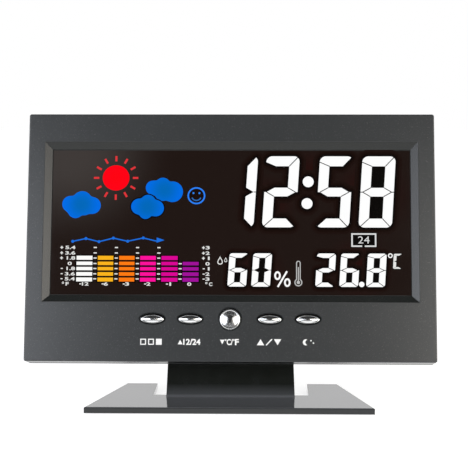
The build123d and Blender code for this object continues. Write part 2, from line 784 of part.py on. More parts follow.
def screw(x, z, seat, length, head_high):
    """A cheese-headed screw that enters from the back, its head resting at the seat's depth."""
    outline = Polyline((0, head_high), (0, -length), (SHANK_R, -length), (SHANK_R, 0), (HEAD_R, 0),
                       (HEAD_R, head_high), close=True)
    return facing_back(revolve(Plane.XZ * make_face(outline), Axis.Z), x, seat, z)


def case_screws():
    return Compound([screw(x, z, SCREW_SEAT, SHANK_LONG, HEAD_HIGH) for x, z in CASE_SCREWS])


def board_screws():
    return Compound([screw(x, z, BOARD_BACK, BOARD_SCREW_LONG, BOARD_HEAD_HIGH)
                     for x, z in BOARD_SCREWS])


def battery_leads():
    """From the two end contacts' tabs straight to the board."""
    x = BAY_X + BAY_WALL + TAB_REACH + LEAD_R
    return Compound([rod(side * x, cell_z(row), LEAD_R, BOARD_BACK, CELL_Y + TAB_WIDE / 2)
                     for side, row in ((-1, 0), (1, 2))])


def lead_pair(x, y, z):
    """Two short straight leads from the board back to a piece's base at depth y."""
    return Compound([rod(x, z + dz, LEAD_R, BOARD_BACK, y) for dz in (-LEAD_APART, LEAD_APART)])


def jack_leads():
    return lead_pair(jack_x() - JACK_BODY[0] / 2, CELL_Y - JACK_BODY[1] / 2, JACK_Z)


def buzzer_leads():
    x, z = BUZZER_AT
    return lead_pair(x, BLOCK_DEPTH - BLOCK_WALL - BUZZER_HIGH - BUZZER_BASE, z)


# The stand

def base_outline(inset=0.0):
    """The base plate's outline seen from above, front edge first, with the notch at the back."""
    front, back = inset, BASE_DEPTH - inset
    slope = (BASE_FRONT_W - BASE_REAR_W) / 2 / BASE_DEPTH

    def half(y):
        return BASE_FRONT_W / 2 - slope * y - inset

    notch_half = NOTCH_W / 2 + inset
    notch = NOTCH_FROM - inset
    right = [(half(front), front), (half(back), back), (notch_half, back), (notch_half, notch)]
    left = [(-x, y) for x, y in reversed(right)]
    return make_face(Polyline(*right, *left, close=True))


def foot_places():
    """Centres of the four pads, in from the plate's corners."""
    rear_half = (BASE_REAR_W + NOTCH_W) / 4
    front_half = BASE_FRONT_W / 2 - FOOT_INSET - FOOT_PROUD - FOOT_THICK
    rear = BASE_DEPTH - FOOT_INSET
    return [(-front_half, FOOT_INSET), (front_half, FOOT_INSET), (-rear_half, rear), (rear_half, rear)]


def base_plate():
    """The plate, hollowed underneath inside a rim, with ribs and seats for the pads."""
    plate = extrude(base_outline(), amount=BASE_THICK)
    plate = fillet(plate.edges().group_by(Axis.Z)[-1], BASE_EDGE_R)
    hollow = extrude(base_outline(SKIRT_WALL), amount=UNDERCUT)
    for i in range(-BASE_RIBS, BASE_RIBS + 1):
        hollow -= cuboid(about(i * BASE_RIB_PITCH, BASE_RIB), (0, BASE_DEPTH), (0, UNDERCUT))
    for x, y in foot_places():
        hollow -= Pos(x, y) * extrude(Circle(FOOT_PAD_R), amount=UNDERCUT)
    plate -= hollow
    for x, y in foot_places():
        plate -= Pos(x, y) * extrude(Circle(FOOT_R), amount=FOOT_THICK - FOOT_PROUD)
    return Pos(0, -BASE_AHEAD, FOOT_PROUD) * plate


def stand():
    """The base plate and the neck in one moulding, with a round root at the neck's foot."""
    neck = prism(neck_outline(foot=NECK_FOOT_Z - 4.0), NECK_FRONT, NECK_FRONT + NECK_THICK)
    tips = neck.edges().filter_by(Axis.Y).group_by(Axis.Z)[-1]
    neck = lean(fillet(tips, NECK_TIP_R))
    neck -= cuboid((-CASE_W, CASE_W), (-CASE_W, CASE_W), (-CASE_LIFT, BASE_TOP - NECK_SUNK))
    whole = base_plate() + neck
    root = [edge for edge in whole.edges().filter_by(Axis.X)
            if abs(edge.center().Z - BASE_TOP) < 0.01 and abs(edge.length - NECK_FOOT_W) < 1.0]
    return fillet(min(root, key=lambda edge: edge.center().Y), NECK_FOOT_R)


def stand_feet():
    pads = [Pos(x, y - BASE_AHEAD) * extrude(Circle(FOOT_R - 0.1), amount=FOOT_THICK)
            for x, y in foot_places()]
    return Compound(pads)


# Placing and writing

def lean(shape):
    """Lean a piece of the case back about its lower front edge, at its height over the table."""
    return Location((0, 0, CASE_LIFT), (-LEAN, 0, 0)) * shape


def case_pieces():
    pieces = {
        "front_bezel": front_bezel(),
        "rear_cover": rear_cover(),
        "screen_lens": screen_lens(),
        "lcd_glass": lcd_glass(),
        "colour_film": colour_film(),
        "light_guide": light_guide(),
        "backlight_leds": backlight_leds(),
        "lcd_holder": lcd_holder(),
        "zebra_strip_lower": zebra_strip(-1),
        "zebra_strip_upper": zebra_strip(1),
        "main_board": main_board(),
        "controller_blob": controller_blob(),
        "clock_crystal": clock_crystal(),
        "tact_switches": tact_switches(),
        "sensor": sensor(),
        "buzzer": buzzer(),
        "dc_jack": dc_jack(),
        "jack_pin": jack_pin(),
        "battery_contact_minus": battery_contact(-1, 0, minus_touch),
        "battery_contact_plus": battery_contact(1, 2, plus_touch),
        "battery_link_left": battery_link(-1, 2, 1),
        "battery_link_right": battery_link(1, 1, 0),
        "battery_door": battery_door(),
        "battery_leads": battery_leads(),
        "jack_leads": jack_leads(),
        "buzzer_leads": buzzer_leads(),
        "case_screws": case_screws(),
        "board_screws": board_screws(),
    }
    for i in range(3):
        pieces[f"battery_{i + 1}"] = battery(i)
    for name, x in zip(BUTTON_NAMES, BUTTON_X):
        pieces[f"button_{name}"] = button_cap(name, x)
        pieces[f"switch_plunger_{name}"] = switch_plunger(x)
    return pieces


def all_pieces():
    pieces = {name: lean(shape) for name, shape in case_pieces().items()}
    pieces["stand"] = stand()
    pieces["stand_feet"] = stand_feet()
    box = Compound([pieces[name] for name in ("stand", "rear_cover", "front_bezel", "battery_door")])
    box = box.bounding_box()
    middle = (box.min.Y + box.max.Y) / 2
    return {name: Pos(0, -middle, 0) * shape for name, shape in pieces.items()}


os.makedirs("parts", exist_ok=True)
for name, shape in all_pieces().items():
    export_step(shape, f"parts/{name}.step")
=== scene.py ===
import json
import math

import bmesh
import bpy
import numpy as np
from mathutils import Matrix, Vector


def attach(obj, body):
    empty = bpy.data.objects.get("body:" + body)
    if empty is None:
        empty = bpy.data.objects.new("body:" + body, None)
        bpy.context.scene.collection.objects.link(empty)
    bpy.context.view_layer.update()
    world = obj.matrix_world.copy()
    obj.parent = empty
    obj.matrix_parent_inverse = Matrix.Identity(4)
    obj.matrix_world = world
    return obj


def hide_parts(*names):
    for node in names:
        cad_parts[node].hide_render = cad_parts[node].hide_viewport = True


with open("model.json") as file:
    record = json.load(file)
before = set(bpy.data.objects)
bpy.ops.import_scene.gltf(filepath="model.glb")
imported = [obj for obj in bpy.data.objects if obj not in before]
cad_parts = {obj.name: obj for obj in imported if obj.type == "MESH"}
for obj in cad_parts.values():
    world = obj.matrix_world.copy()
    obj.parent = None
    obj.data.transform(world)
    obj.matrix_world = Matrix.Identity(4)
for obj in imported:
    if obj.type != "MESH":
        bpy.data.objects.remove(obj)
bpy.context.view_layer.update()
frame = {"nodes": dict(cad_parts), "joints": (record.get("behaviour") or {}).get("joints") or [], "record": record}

# A desk weather clock: the finishes of its pieces, the lit marks of its display, the printed
# signs beside its buttons, its chrome caps and its screws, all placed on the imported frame.
# Sizes are millimetres on the leaning case, unless a name or comment says metres.

MM = 0.001

# The case's own directions, from the joint that lifts it off the stand
JOINTS = {joint["name"]: joint for joint in frame["joints"]}
UP = np.array(JOINTS["case_lift"]["axis"], float)
ACROSS = np.array([1.0, 0.0, 0.0])
INTO = np.cross(UP, ACROSS)


def node_points(node):
    """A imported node's mesh points in the row frame, in metres."""
    mesh = frame["nodes"][node].data
    points = np.empty(len(mesh.vertices) * 3, np.float32)
    mesh.vertices.foreach_get("co", points)
    return points.reshape(-1, 3).astype(float)


FACE = (node_points("front_bezel") @ INTO).min()          # metres along INTO to the front face
LOWER_EDGE = (node_points("front_bezel") @ UP).min()      # metres along UP to the case's lower edge


def on_case(points):
    """Case points (across, into the case, up from its lower edge) as row frame points in metres."""
    x, y, z = np.moveaxis(np.asarray(points, float) * MM, -1, 0)
    return x[..., None] * ACROSS + (y[..., None] + FACE) * INTO + (z[..., None] + LOWER_EDGE) * UP


def case_box(node):
    """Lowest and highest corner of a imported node, in millimetres on the case."""
    points = node_points(node)
    local = np.stack([points @ ACROSS, points @ INTO - FACE, points @ UP - LOWER_EDGE], axis=1)
    return local.min(0) / MM, local.max(0) / MM


LENS_FACE = case_box("screen_lens")[0][1]


# Finishes

def linear(colour):
    """A six-digit colour as it is seen, turned into the linear light that a shader takes."""
    seen = np.array([int(colour[i:i + 2], 16) for i in (0, 2, 4)]) / 255
    light = np.where(seen <= 0.04045, seen / 12.92, ((seen + 0.055) / 1.055) ** 2.4)
    return (*light.tolist(), 1.0)


def shader_node(tree, kind, settings=None, inputs=None):
    """A new node with its settings and its inputs, each either a value or another node's output."""
    node = tree.nodes.new("ShaderNode" + kind)
    for key, value in (settings or {}).items():
        setattr(node, key, value)
    for key, value in (inputs or {}).items():
        if isinstance(value, bpy.types.NodeSocket):
            tree.links.new(value, node.inputs[key])
        else:
            node.inputs[key].default_value = value
    return node


def maths(tree, operation, *values):
    """The result of one sum on numbers and other nodes' outputs."""
    return shader_node(tree, "Math", {"operation": operation}, dict(enumerate(values))).outputs["Value"]


class Finish:
    """A material while it is being made: its node tree, its shader and its Object coordinates."""

    def __init__(self, name, colour, roughness, sockets=None):
        self.material = bpy.data.materials.new(name)
        self.material.use_nodes = True
        self.tree = self.material.node_tree
        self.shader = self.tree.nodes["Principled BSDF"]
        constants = {"Base Color": linear(colour), "Roughness": roughness, **(sockets or {})}
        for socket, value in constants.items():
            self.shader.inputs[socket].default_value = value
        self.place = self.add("TexCoord").outputs["Object"]

    def add(self, kind, settings=None, inputs=None):
        """A new node of this material."""
        return shader_node(self.tree, kind, settings, inputs)

    def maths(self, operation, *values):
        """The result of one sum in this material."""
        return maths(self.tree, operation, *values)

    def feed(self, output, socket):
        """Joins an output to one of the shader's sockets."""
        self.tree.links.new(output, self.shader.inputs[socket])

    def grain(self, size, detail=2.0):
        """Noise whose lumps are about `size` millimetres across."""
        inputs = {"Vector": self.place, "Scale": 1 / (size * MM), "Detail": detail}
        return self.add("TexNoise", None, inputs).outputs["Fac"]

    def spread(self, factor, low, high, start=0.0, end=1.0):
        """A factor between start and end as a number between low and high, held at both ends."""
        limits = {"From Min": start, "From Max": end, "To Min": low, "To Max": high}
        return self.add("MapRange", None, {"Value": factor, **limits}).outputs["Result"]

    def tones(self, factor, stops):
        """A factor as a colour, through (place, colour) stops."""
        ramp = self.add("ValToRGB", None, {"Fac": factor})
        while len(ramp.color_ramp.elements) < len(stops):
            ramp.color_ramp.elements.new(0.5)
        for element, (place, colour) in zip(ramp.color_ramp.elements, stops):
            element.position = place
            element.color = linear(colour)
        return ramp.outputs["Color"]

    def mixed(self, factor, first, second):
        """Two colours mixed by a factor, which is a number or another node's output."""
        return self.add("Mix", {"data_type": "RGBA"}, {0: factor, 6: first, 7: second}).outputs[2]

    def mottle(self, factor, dark, pale, start=0.3, end=0.7):
        """Gives the base colour two tones that follow a factor."""
        self.feed(self.tones(factor, [(start, dark), (end, pale)]), "Base Color")

    def gloss(self, factor, low, high, start=0.3, end=0.7):
        """Gives the roughness a range that follows a factor."""
        self.feed(self.spread(factor, low, high, start, end), "Roughness")

    def relief(self, height, depth):
        """Bump of `depth` millimetres from a height."""
        bump = self.add("Bump", None, {"Height": height, "Distance": depth * MM, "Strength": 1.0})
        self.feed(bump.outputs["Normal"], "Normal")

    def along(self, direction):
        """The place of a point along a row frame direction, in metres."""
        way = tuple(float(v) for v in direction)
        return self.add("VectorMath", {"operation": "DOT_PRODUCT"}, {0: self.place, 1: way}).outputs["Value"]

    def near(self, centre, radius):
        """One at a case point and falling smoothly to nothing `radius` millimetres away from it."""
        middle = tuple(on_case(centre).tolist())
        reach = self.add("VectorMath", {"operation": "DISTANCE"}, {0: self.place, 1: middle}).outputs["Value"]
        fall = self.add("MapRange", {"interpolation_type": "SMOOTHERSTEP"},
                        {"Value": reach, "From Max": radius * MM, "To Min": 1.0, "To Max": 0.0})
        return fall.outputs["Result"]

    def within(self, half_width, low, high):
        """One where a point lies between two heights up the case and within a half width of its middle."""
        up = self.along(UP)
        narrow = self.maths("LESS_THAN", self.maths("ABSOLUTE", self.along(ACROSS)), half_width * MM)
        above = self.maths("GREATER_THAN", up, LOWER_EDGE + low * MM)
        below = self.maths("LESS_THAN", up, LOWER_EDGE + high * MM)
        return self.maths("MULTIPLY", narrow, self.maths("MULTIPLY", above, below))


def speckled_plastic(name, dark, pale, roughness, speck, depth, painted_bevel_shade=None):
    """Moulded plastic with a fine sparkle: broad and fine noise set its tone and its gloss.

    Where a painted bevel shade is given, the screen's surround has that darker tone, a painted shade of its
    recess, and is smoother than the face.
    """
    finish = Finish(name, pale, roughness, {"IOR": 1.58})
    fine = finish.grain(speck, 3.0)
    stops = [(0.3, dark), (0.7, pale)]
    tone = finish.mixed(0.3, finish.tones(fine, stops), finish.tones(finish.grain(18.0), stops))
    gloss = finish.spread(fine, roughness - 0.02, roughness + 0.03, 0.3, 0.7)
    if painted_bevel_shade:
        # painted shade: the recessed surround gets a darker tone than the face
        surround = finish.within(SURROUND_HALF, SURROUND_LOW, SURROUND_HIGH)
        tone = finish.mixed(surround, tone, linear(painted_bevel_shade))
        gloss = finish.maths("MULTIPLY_ADD", surround, -SURROUND_SMOOTHER, gloss)
    finish.feed(tone, "Base Color")
    finish.feed(gloss, "Roughness")
    finish.relief(finish.grain(speck * 0.6), depth)
    return finish.material


def stand_plastic_painted_light(name):
    """Smooth dark plastic with painted light and shade by height: palest on the plate's top, darker on its sides,
    darkest up the neck where the case shades it, with wear in its gloss.
    """
    finish = Finish(name, "2e3030", 0.08, {"IOR": 1.33, "Coat Weight": 0.6, "Coat Roughness": 0.06,
                                           "Coat IOR": 1.33})
    # painted light and shade: the tone follows height, palest on the plate's top and darkest up the neck under the
    # case
    height = finish.spread(finish.along((0.0, 0.0, 1.0)), 0.0, 1.0, 0.002, 0.012)
    tone = finish.tones(height, [(0.0, "262829"), (0.08, "262829"), (0.1, "64666a"), (0.2, "393b3d"),
                                 (0.6, "181a18"), (1.0, "141613")])
    wear = finish.spread(finish.grain(6.0, 3.0), 0.0, 0.04, 0.35, 0.65)
    finish.feed(finish.mixed(wear, tone, linear("505254")), "Base Color")
    finish.gloss(finish.grain(9.0, 4.0), 0.08, 0.12)
    finish.relief(finish.grain(14.0, 1.0), 0.003)
    return finish.material


def dark_lens(name, shine, glows_and_reflection=()):
    """Near-black clear plastic that shines faintly, with a few soft glows and painted reflections on it: (tone,
    place, reach).
    """
    seen = linear(shine)
    finish = Finish(name, "080605", 0.06, {"IOR": 1.49, "Emission Strength": 1.0, "Emission Color": seen})
    for tone, place, reach in glows_and_reflection:
        seen = finish.mixed(finish.near(place, reach), seen, linear(tone))
        finish.feed(seen, "Emission Color")
    finish.gloss(finish.grain(26.0, 3.0), 0.04, 0.09)
    return finish.material


def display_glass(name):
    """The two plates of the display behind the lens: black glass with a faint sheen of its cells."""
    finish = Finish(name, "0c0b0c", 0.08, {"IOR": 1.52})
    finish.mottle(finish.grain(1.2, 1.0), "09080a", "121013", 0.35, 0.65)
    finish.gloss(finish.grain(20.0), 0.05, 0.12)
    return finish.material


def colour_layer(name):
    """A printed film with soft fields of blue, red and orange from one end to the other."""
    finish = Finish(name, "c03020", 0.35)
    across = finish.spread(finish.along(ACROSS), 0.0, 1.0, -0.075, 0.075)
    fields = finish.tones(across, [(0.05, "1568c8"), (0.2, "e03028"), (0.35, "ff8a10"), (0.5, "e0109a"),
                                   (0.6, "f2f2ee")])
    finish.feed(finish.mixed(finish.grain(0.5), fields, linear("f8f4ee")), "Base Color")
    return finish.material


def acrylic_guide(name):
    """Clear acrylic sheet with the fine dots that throw its edge light forwards."""
    finish = Finish(name, "dfe6e8", 0.12, {"IOR": 1.49, "Transmission Weight": 0.6})
    dots = finish.add("TexVoronoi", None, {"Vector": finish.place, "Scale": 1 / (0.9 * MM)})
    finish.gloss(dots.outputs["Distance"], 0.45, 0.08, 0.1, 0.3)
    finish.mottle(dots.outputs["Distance"], "ffffff", "d4dde0", 0.1, 0.3)
    return finish.material


def plain_plastic(name, dark, pale, roughness):
    """Small moulded part: a slight mottle in its tone and its gloss."""
    finish = Finish(name, pale, roughness, {"IOR": 1.5})
    mottle = finish.grain(0.8, 3.0)
    finish.mottle(mottle, dark, pale)
    finish.gloss(mottle, roughness - 0.06, roughness + 0.08)
    finish.relief(mottle, 0.01)
    return finish.material


def rubber(name, dark, pale):
    """Matt rubber with a fine dusty grain."""
    finish = Finish(name, pale, 0.85, {"IOR": 1.5, "Sheen Weight": 0.15})
    dust = finish.grain(0.4, 4.0)
    finish.mottle(dust, dark, pale, 0.35)
    finish.relief(dust, 0.03)
    return finish.material


def layered_elastomer(name):
    """Silicone strip with fine conducting layers, dark and pale in turn across the case."""
    finish = Finish(name, "c9c3b8", 0.6)
    stripes = finish.add("TexWave", {"bands_direction": "X"},
                         {"Vector": finish.place, "Scale": 1 / (2.5 * MM)})
    finish.mottle(stripes.outputs["Fac"], "26221f", "cfc8bc", 0.45, 0.55)
    return finish.material


def circuit_board(name):
    """Green lacquered board: the raised lines of its tracks under the lacquer."""
    finish = Finish(name, "1d5a34", 0.3, {"IOR": 1.5, "Coat Weight": 0.4})
    tracks = finish.add("TexBrick", {"offset": 0.37, "squash": 0.6, "squash_frequency": 3},
                        {"Vector": finish.place, "Scale": 1 / (11.0 * MM), "Mortar Size": 0.035,
                         "Color1": linear("184d2c"), "Color2": linear("1b5531"), "Mortar": linear("2f7d48")})
    stain = finish.spread(finish.grain(1.1), 0.0, 0.35, 0.4, 0.7)
    finish.feed(finish.mixed(stain, tracks.outputs["Color"], linear("123d22")), "Base Color")
    finish.relief(tracks.outputs["Fac"], 0.03)
    return finish.material


def poured_resin(name):
    """Black resin dropped over the chip, glossy with a faint orange peel."""
    finish = Finish(name, "0d0d0e", 0.22)
    peel = finish.grain(1.6)
    finish.mottle(peel, "0a0a0b", "141415")
    finish.relief(peel, 0.05)
    return finish.material


def metal(name, dark, pale, roughness, size):
    """Metal whose tone and gloss vary with the marks of its making."""
    finish = Finish(name, pale, roughness, {"Metallic": 1.0})
    marks_of_making = finish.grain(size, 3.0)
    finish.mottle(marks_of_making, dark, pale)
    finish.gloss(marks_of_making, roughness - 0.05, roughness + 0.07)
    return finish.material


def spun_chrome(name, centre, calm_reach, roughness):
    """Chrome on a finely turned face: its reflections are drawn out away from the cap's centre.

    The turning fades to a nearly smooth middle of some reach.
    """
    finish = Finish(name, "f0f1f2", 0.26, {"Metallic": 1.0, "Anisotropic": 0.8})
    middle = tuple(on_case(centre).tolist())
    outwards = finish.add("VectorMath", {"operation": "SUBTRACT"}, {0: finish.place, 1: middle})
    finish.feed(outwards.outputs["Vector"], "Tangent")
    turning = finish.grain(0.3, 3.0)
    finish.mottle(turning, "dcdede", "fafbfb")
    turned_gloss = finish.spread(turning, roughness, roughness + 0.12, 0.3, 0.7)
    calm = finish.near(centre, calm_reach)
    finish.feed(finish.maths("MULTIPLY_ADD", calm, CALM_ROUGHNESS - roughness, turned_gloss), "Roughness")
    return finish.material


def cell_wrap(name, plus_end):
    """A battery cell's sleeve: a long dark field, a copper band near the plus end, bare steel ends."""
    finish = Finish(name, "1f2226", 0.28, {"Coat Weight": 0.5})
    along = finish.spread(finish.along(ACROSS * plus_end), 0.0, 1.0, -0.0223, 0.0223)
    sleeve = finish.tones(along, [(0.0, "b9bcbe"), (0.02, "1c1f24"), (0.68, "1c1f24"), (0.7, "c77a3c"),
                                  (0.955, "c77a3c"), (0.975, "b9bcbe")])
    sleeve.node.color_ramp.interpolation = "CONSTANT"
    scuffs = finish.spread(finish.grain(0.9), 0.0, 0.12, 0.4, 0.7)
    finish.feed(finish.mixed(scuffs, sleeve, linear("55585c")), "Base Color")
    finish.feed(finish.spread(along, 0.15, 0.75, 0.6, 0.72), "Metallic")
    return finish.material


def lead_sleeve(name):
    """Thin insulated leads, one colour to each side of the case."""
    finish = Finish(name, "b02020", 0.45)
    side = finish.spread(finish.along(UP), 0.0, 1.0, 0.06, 0.075)
    sleeves = finish.tones(side, [(0.4, "a81d1d"), (0.6, "1b1b1d")])
    finish.feed(finish.mixed(finish.grain(0.8), sleeves, linear("5a1515")), "Base Color")
    return finish.material


def lit(name, edge, core=None, centre=None, radius=None):
    """A mark that the display lights: its own colour, slightly uneven, or another tone at its core."""
    finish = Finish(name, "020202", 0.3, {"IOR": 1.06, "Emission Strength": 1.0})
    seen = linear(edge)
    if core is None:
        dimmer = tuple(0.985 * value for value in seen[:3]) + (1.0,)
        glow = finish.mixed(finish.spread(finish.grain(5.0, 1.0), 0.0, 1.0, 0.35, 0.6), dimmer, seen)
    else:
        glow = finish.mixed(finish.near(centre, radius), seen, linear(core))
    finish.feed(glow, "Emission Color")
    return finish.material


def printed_ink(name, dark, pale):
    """Opaque ink printed on the case: it thins a little where the plastic's grain stands up."""
    finish = Finish(name, pale, 0.55)
    finish.mottle(finish.grain(0.35, 3.0), dark, pale, 0.3, 0.6)
    return finish.material


# Places and sizes that the finishes need, in millimetres on the case, and two roughnesses
SURROUND_HALF = 78.06
SURROUND_LOW = 24.68
SURROUND_HIGH = 92.12
SURROUND_SMOOTHER = 0.005      # how much less rough the surround is than the face
CALM_ROUGHNESS = 0.02          # how rough a cap's middle is

# A painted reflection of a soft light lies at the upper left of the lens, and stray light warms the field round
# the figures
WARM_PLACES = [(15.0, 66.0, 16.0), (33.0, 79.0, 14.0), (58.0, 70.0, 22.0), (12.0, 38.0, 14.0),
               (53.0, 39.0, 18.0)]
# the first glow is a painted reflection: a pale haze standing for a soft light mirrored in the lens
LENS_GLOWS_AND_REFLECTION = [("3d3836", (-66.0, LENS_FACE, 88.0), 45.0)]
LENS_GLOWS_AND_REFLECTION += [("220806", (x, LENS_FACE, z), reach) for x, z, reach in WARM_PLACES]

FINISHES = {
    # the case plastic's last colour is the painted shade on the screen's surround
    "case_plastic": speckled_plastic("case_plastic", "2c2e2f", "323435", 0.25, 0.4, 0.002, "202221"),
    "back_plastic": speckled_plastic("back_plastic", "3d3f41", "47494b", 0.55, 0.7, 0.03),
    "stand_plastic": stand_plastic_painted_light("stand_plastic"),
    "lens": dark_lens("lens", "1b110e", LENS_GLOWS_AND_REFLECTION),
    "display_glass": display_glass("display_glass"),
    "film": colour_layer("film"),
    "guide": acrylic_guide("guide"),
    "white_plastic": plain_plastic("white_plastic", "d9d9d4", "e8e8e4", 0.5),
    "black_plastic": plain_plastic("black_plastic", "1a1a1b", "242425", 0.45),
    "elastomer": layered_elastomer("elastomer"),
    "board": circuit_board("board"),
    "resin": poured_resin("resin"),
    "crystal_can": metal("crystal_can", "a9abad", "c8cacb", 0.25, 0.5),
    "chrome_cap": metal("chrome_cap", "e4e6e7", "fafbfb", 0.14, 0.35),
    "cell": cell_wrap("cell", 1.0),
    "spring_steel": metal("spring_steel", "9fa1a3", "c4c6c8", 0.22, 0.3),
    "screw_steel": metal("screw_steel", "8d8f92", "b9bbbd", 0.28, 0.25),
    "lead_sleeve": lead_sleeve("lead_sleeve"),
    "foot_rubber": rubber("foot_rubber", "191919", "242423"),
}
TURNED_CELL = cell_wrap("turned_cell", -1.0)

for subpart in frame["record"]["subparts"]:
    dressed = frame["nodes"][subpart["node"]]
    dressed.data.materials.clear()
    dressed.data.materials.append(FINISHES[subpart["material_slot"]])
frame["nodes"]["battery_2"].data.materials[0] = TURNED_CELL


# Surfaces

def in_scene(name, data):
    """A new object of some data, linked to the scene."""
    made = bpy.data.objects.new(name, data)
    bpy.context.scene.collection.objects.link(made)
    return made


def piece(name, points, faces, finish, body="case_body", smooth=False, replaced=()):
    """A welded mesh with outward faces as a named piece that rides on a body."""
    mesh = bpy.data.meshes.new(name)
    mesh.from_pydata(points.tolist(), [], faces)
    welded = bmesh.new()
    welded.from_mesh(mesh)
    bmesh.ops.remove_doubles(welded, verts=welded.verts, dist=1e-7)
    bmesh.ops.recalc_face_normals(welded, faces=welded.faces)
    welded.to_mesh(mesh)
    welded.free()
    mesh.polygons.foreach_set("use_smooth", np.full(len(mesh.polygons), smooth))
    mesh.materials.append(finish)
    made = in_scene(name, mesh)
    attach(made, body)
    if replaced:
        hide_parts(*replaced)


def turned(rings):
    """Points and faces of a closed form: rings of points, row after row, with a pole at each end."""
    rows, around = rings.shape[:2]
    points = np.concatenate([rings.reshape(-1, 3), rings[:1].mean(axis=1), rings[-1:].mean(axis=1)])
    first = np.arange(around)
    following = np.roll(first, -1)
    starts = np.arange(rows - 1)[:, None] * around
    quads = np.stack([starts + first, starts + following, starts + around + following,
                      starts + around + first], axis=-1).reshape(-1, 4)
    top = np.stack([np.full(around, rows * around), following, first], axis=-1)
    last = (rows - 1) * around
    bottom = np.stack([np.full(around, rows * around + 1), last + first, last + following], axis=-1)
    return points, quads.tolist() + top.tolist() + bottom.tolist()


def round_turn(steps):
    """Angles all the way round, the last of them one step short of the first."""
    return np.linspace(0, 2 * np.pi, steps, endpoint=False)


def oval_rings(x, z, half_width, half_height, depth, steps):
    """Rings of points: an ellipse about (x, z) at each depth, where any size may be a row of sizes."""
    turn = round_turn(steps)
    x, z, half_width, half_height, depth = (np.asarray(size, float)[..., None]
                                            for size in (x, z, half_width, half_height, depth))
    across, up = x + half_width * np.cos(turn), z + half_height * np.sin(turn)
    return np.stack(np.broadcast_arrays(across, depth, up), axis=-1)


CAP_STEPS = 96                 # points round a cap and round its well
CAP_RIM = 0.83                 # share of the cap's radius that the crown takes
CAP_DROP = 0.18                # how much lower the cap stands in its well than the well's middle
RIM_FALL = 0.25                # how much further back the rim ends than it begins
SKIRT_TOP = 0.8                # how far behind the crown's edge the straight skirt begins
FLANGE_THICK = 1.1
# A cap's half width, half height, height of its crown and of its rim, calm middle's reach, roughness
OVAL_CAP = (4.78, 1.73, 0.6, 0.12, 0.9, 0.1)
ROUND_CAP = (4.25, 4.25, 0.46, 0.3, 2.2, 0.19)
CAP_SIZES = {"outer_left": OVAL_CAP, "inner_left": OVAL_CAP, "centre": ROUND_CAP,
             "inner_right": OVAL_CAP, "outer_right": OVAL_CAP}


def chrome_cap(key, half_width, half_height, dome, bead, calm, roughness):
    """A cap's skin: the profile (share of the radius, depth) carried round an ellipse.

    The crown falls with the square of the share, the rim is half a sine wave, and the skirt goes
    straight back to the flange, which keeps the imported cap's own width.
    """
    node = "button_" + key
    low, high = case_box(node)
    middle_x, _, middle_z = (low + high) / 2
    flange_width, _, flange_height = (high - low) / 2
    front, back = low[1], high[1]
    crown = np.linspace(0.03, 1.0, 18)
    rim = np.linspace(0.0, 1.0, 13)[1:]
    share = np.concatenate([CAP_RIM * crown, CAP_RIM + (1 - CAP_RIM) * (1 - np.cos(np.pi * rim)) / 2,
                            [1.0, 1.0]])
    depth = np.concatenate([front + dome * crown ** 2,
                            front + dome - bead * np.sin(np.pi * rim) + RIM_FALL * rim ** 3,
                            [front + dome + SKIRT_TOP, back - FLANGE_THICK]])
    cap_z = middle_z - CAP_DROP
    skin = oval_rings(middle_x, cap_z, half_width * share, half_height * share, depth, CAP_STEPS)
    flange = oval_rings(middle_x, middle_z, flange_width, flange_height, [back - FLANGE_THICK, back],
                        CAP_STEPS)
    points, faces = turned(np.concatenate([skin, flange]))
    chrome = spun_chrome(key + "_chrome", (middle_x, front, cap_z), calm, roughness)
    piece(key + "_cap", on_case(points), faces, chrome, key + "_button_body", True, [node])


for cap, cap_size in CAP_SIZES.items():
    chrome_cap(cap, *cap_size)


# Screws with a cross recess, standing for the plain ones

HEAD_RADIUS = 2.4
HEAD_HEIGHT = 1.4
SHANK_RADIUS = 1.1
RECESS_REACH = 1.35
RECESS_HALF = 0.26
RECESS_DEPTH = 0.85
THREAD_PITCH = 1.0
THREAD_HEIGHT = 0.22
HEAD_CROWN = 0.25              # how much lower the head's edge is than its middle
RECESS_SOFT = 0.08             # how far the recess's walls lean, to either side
RECESS_RISE = 0.35             # length over which each arm of the recess runs out
POINT_RADIUS = 0.25
POINT_LENGTH = 1.2
SCREW_STEPS = 72               # points round a screw
HEAD_ROWS, SHANK_ROWS = 22, 60


def smooth_step(value, start, end):
    """Nothing before start, one after end, and a smooth rise between them."""
    t = np.clip((value - start) / (end - start), 0, 1)
    return t * t * (3 - 2 * t)


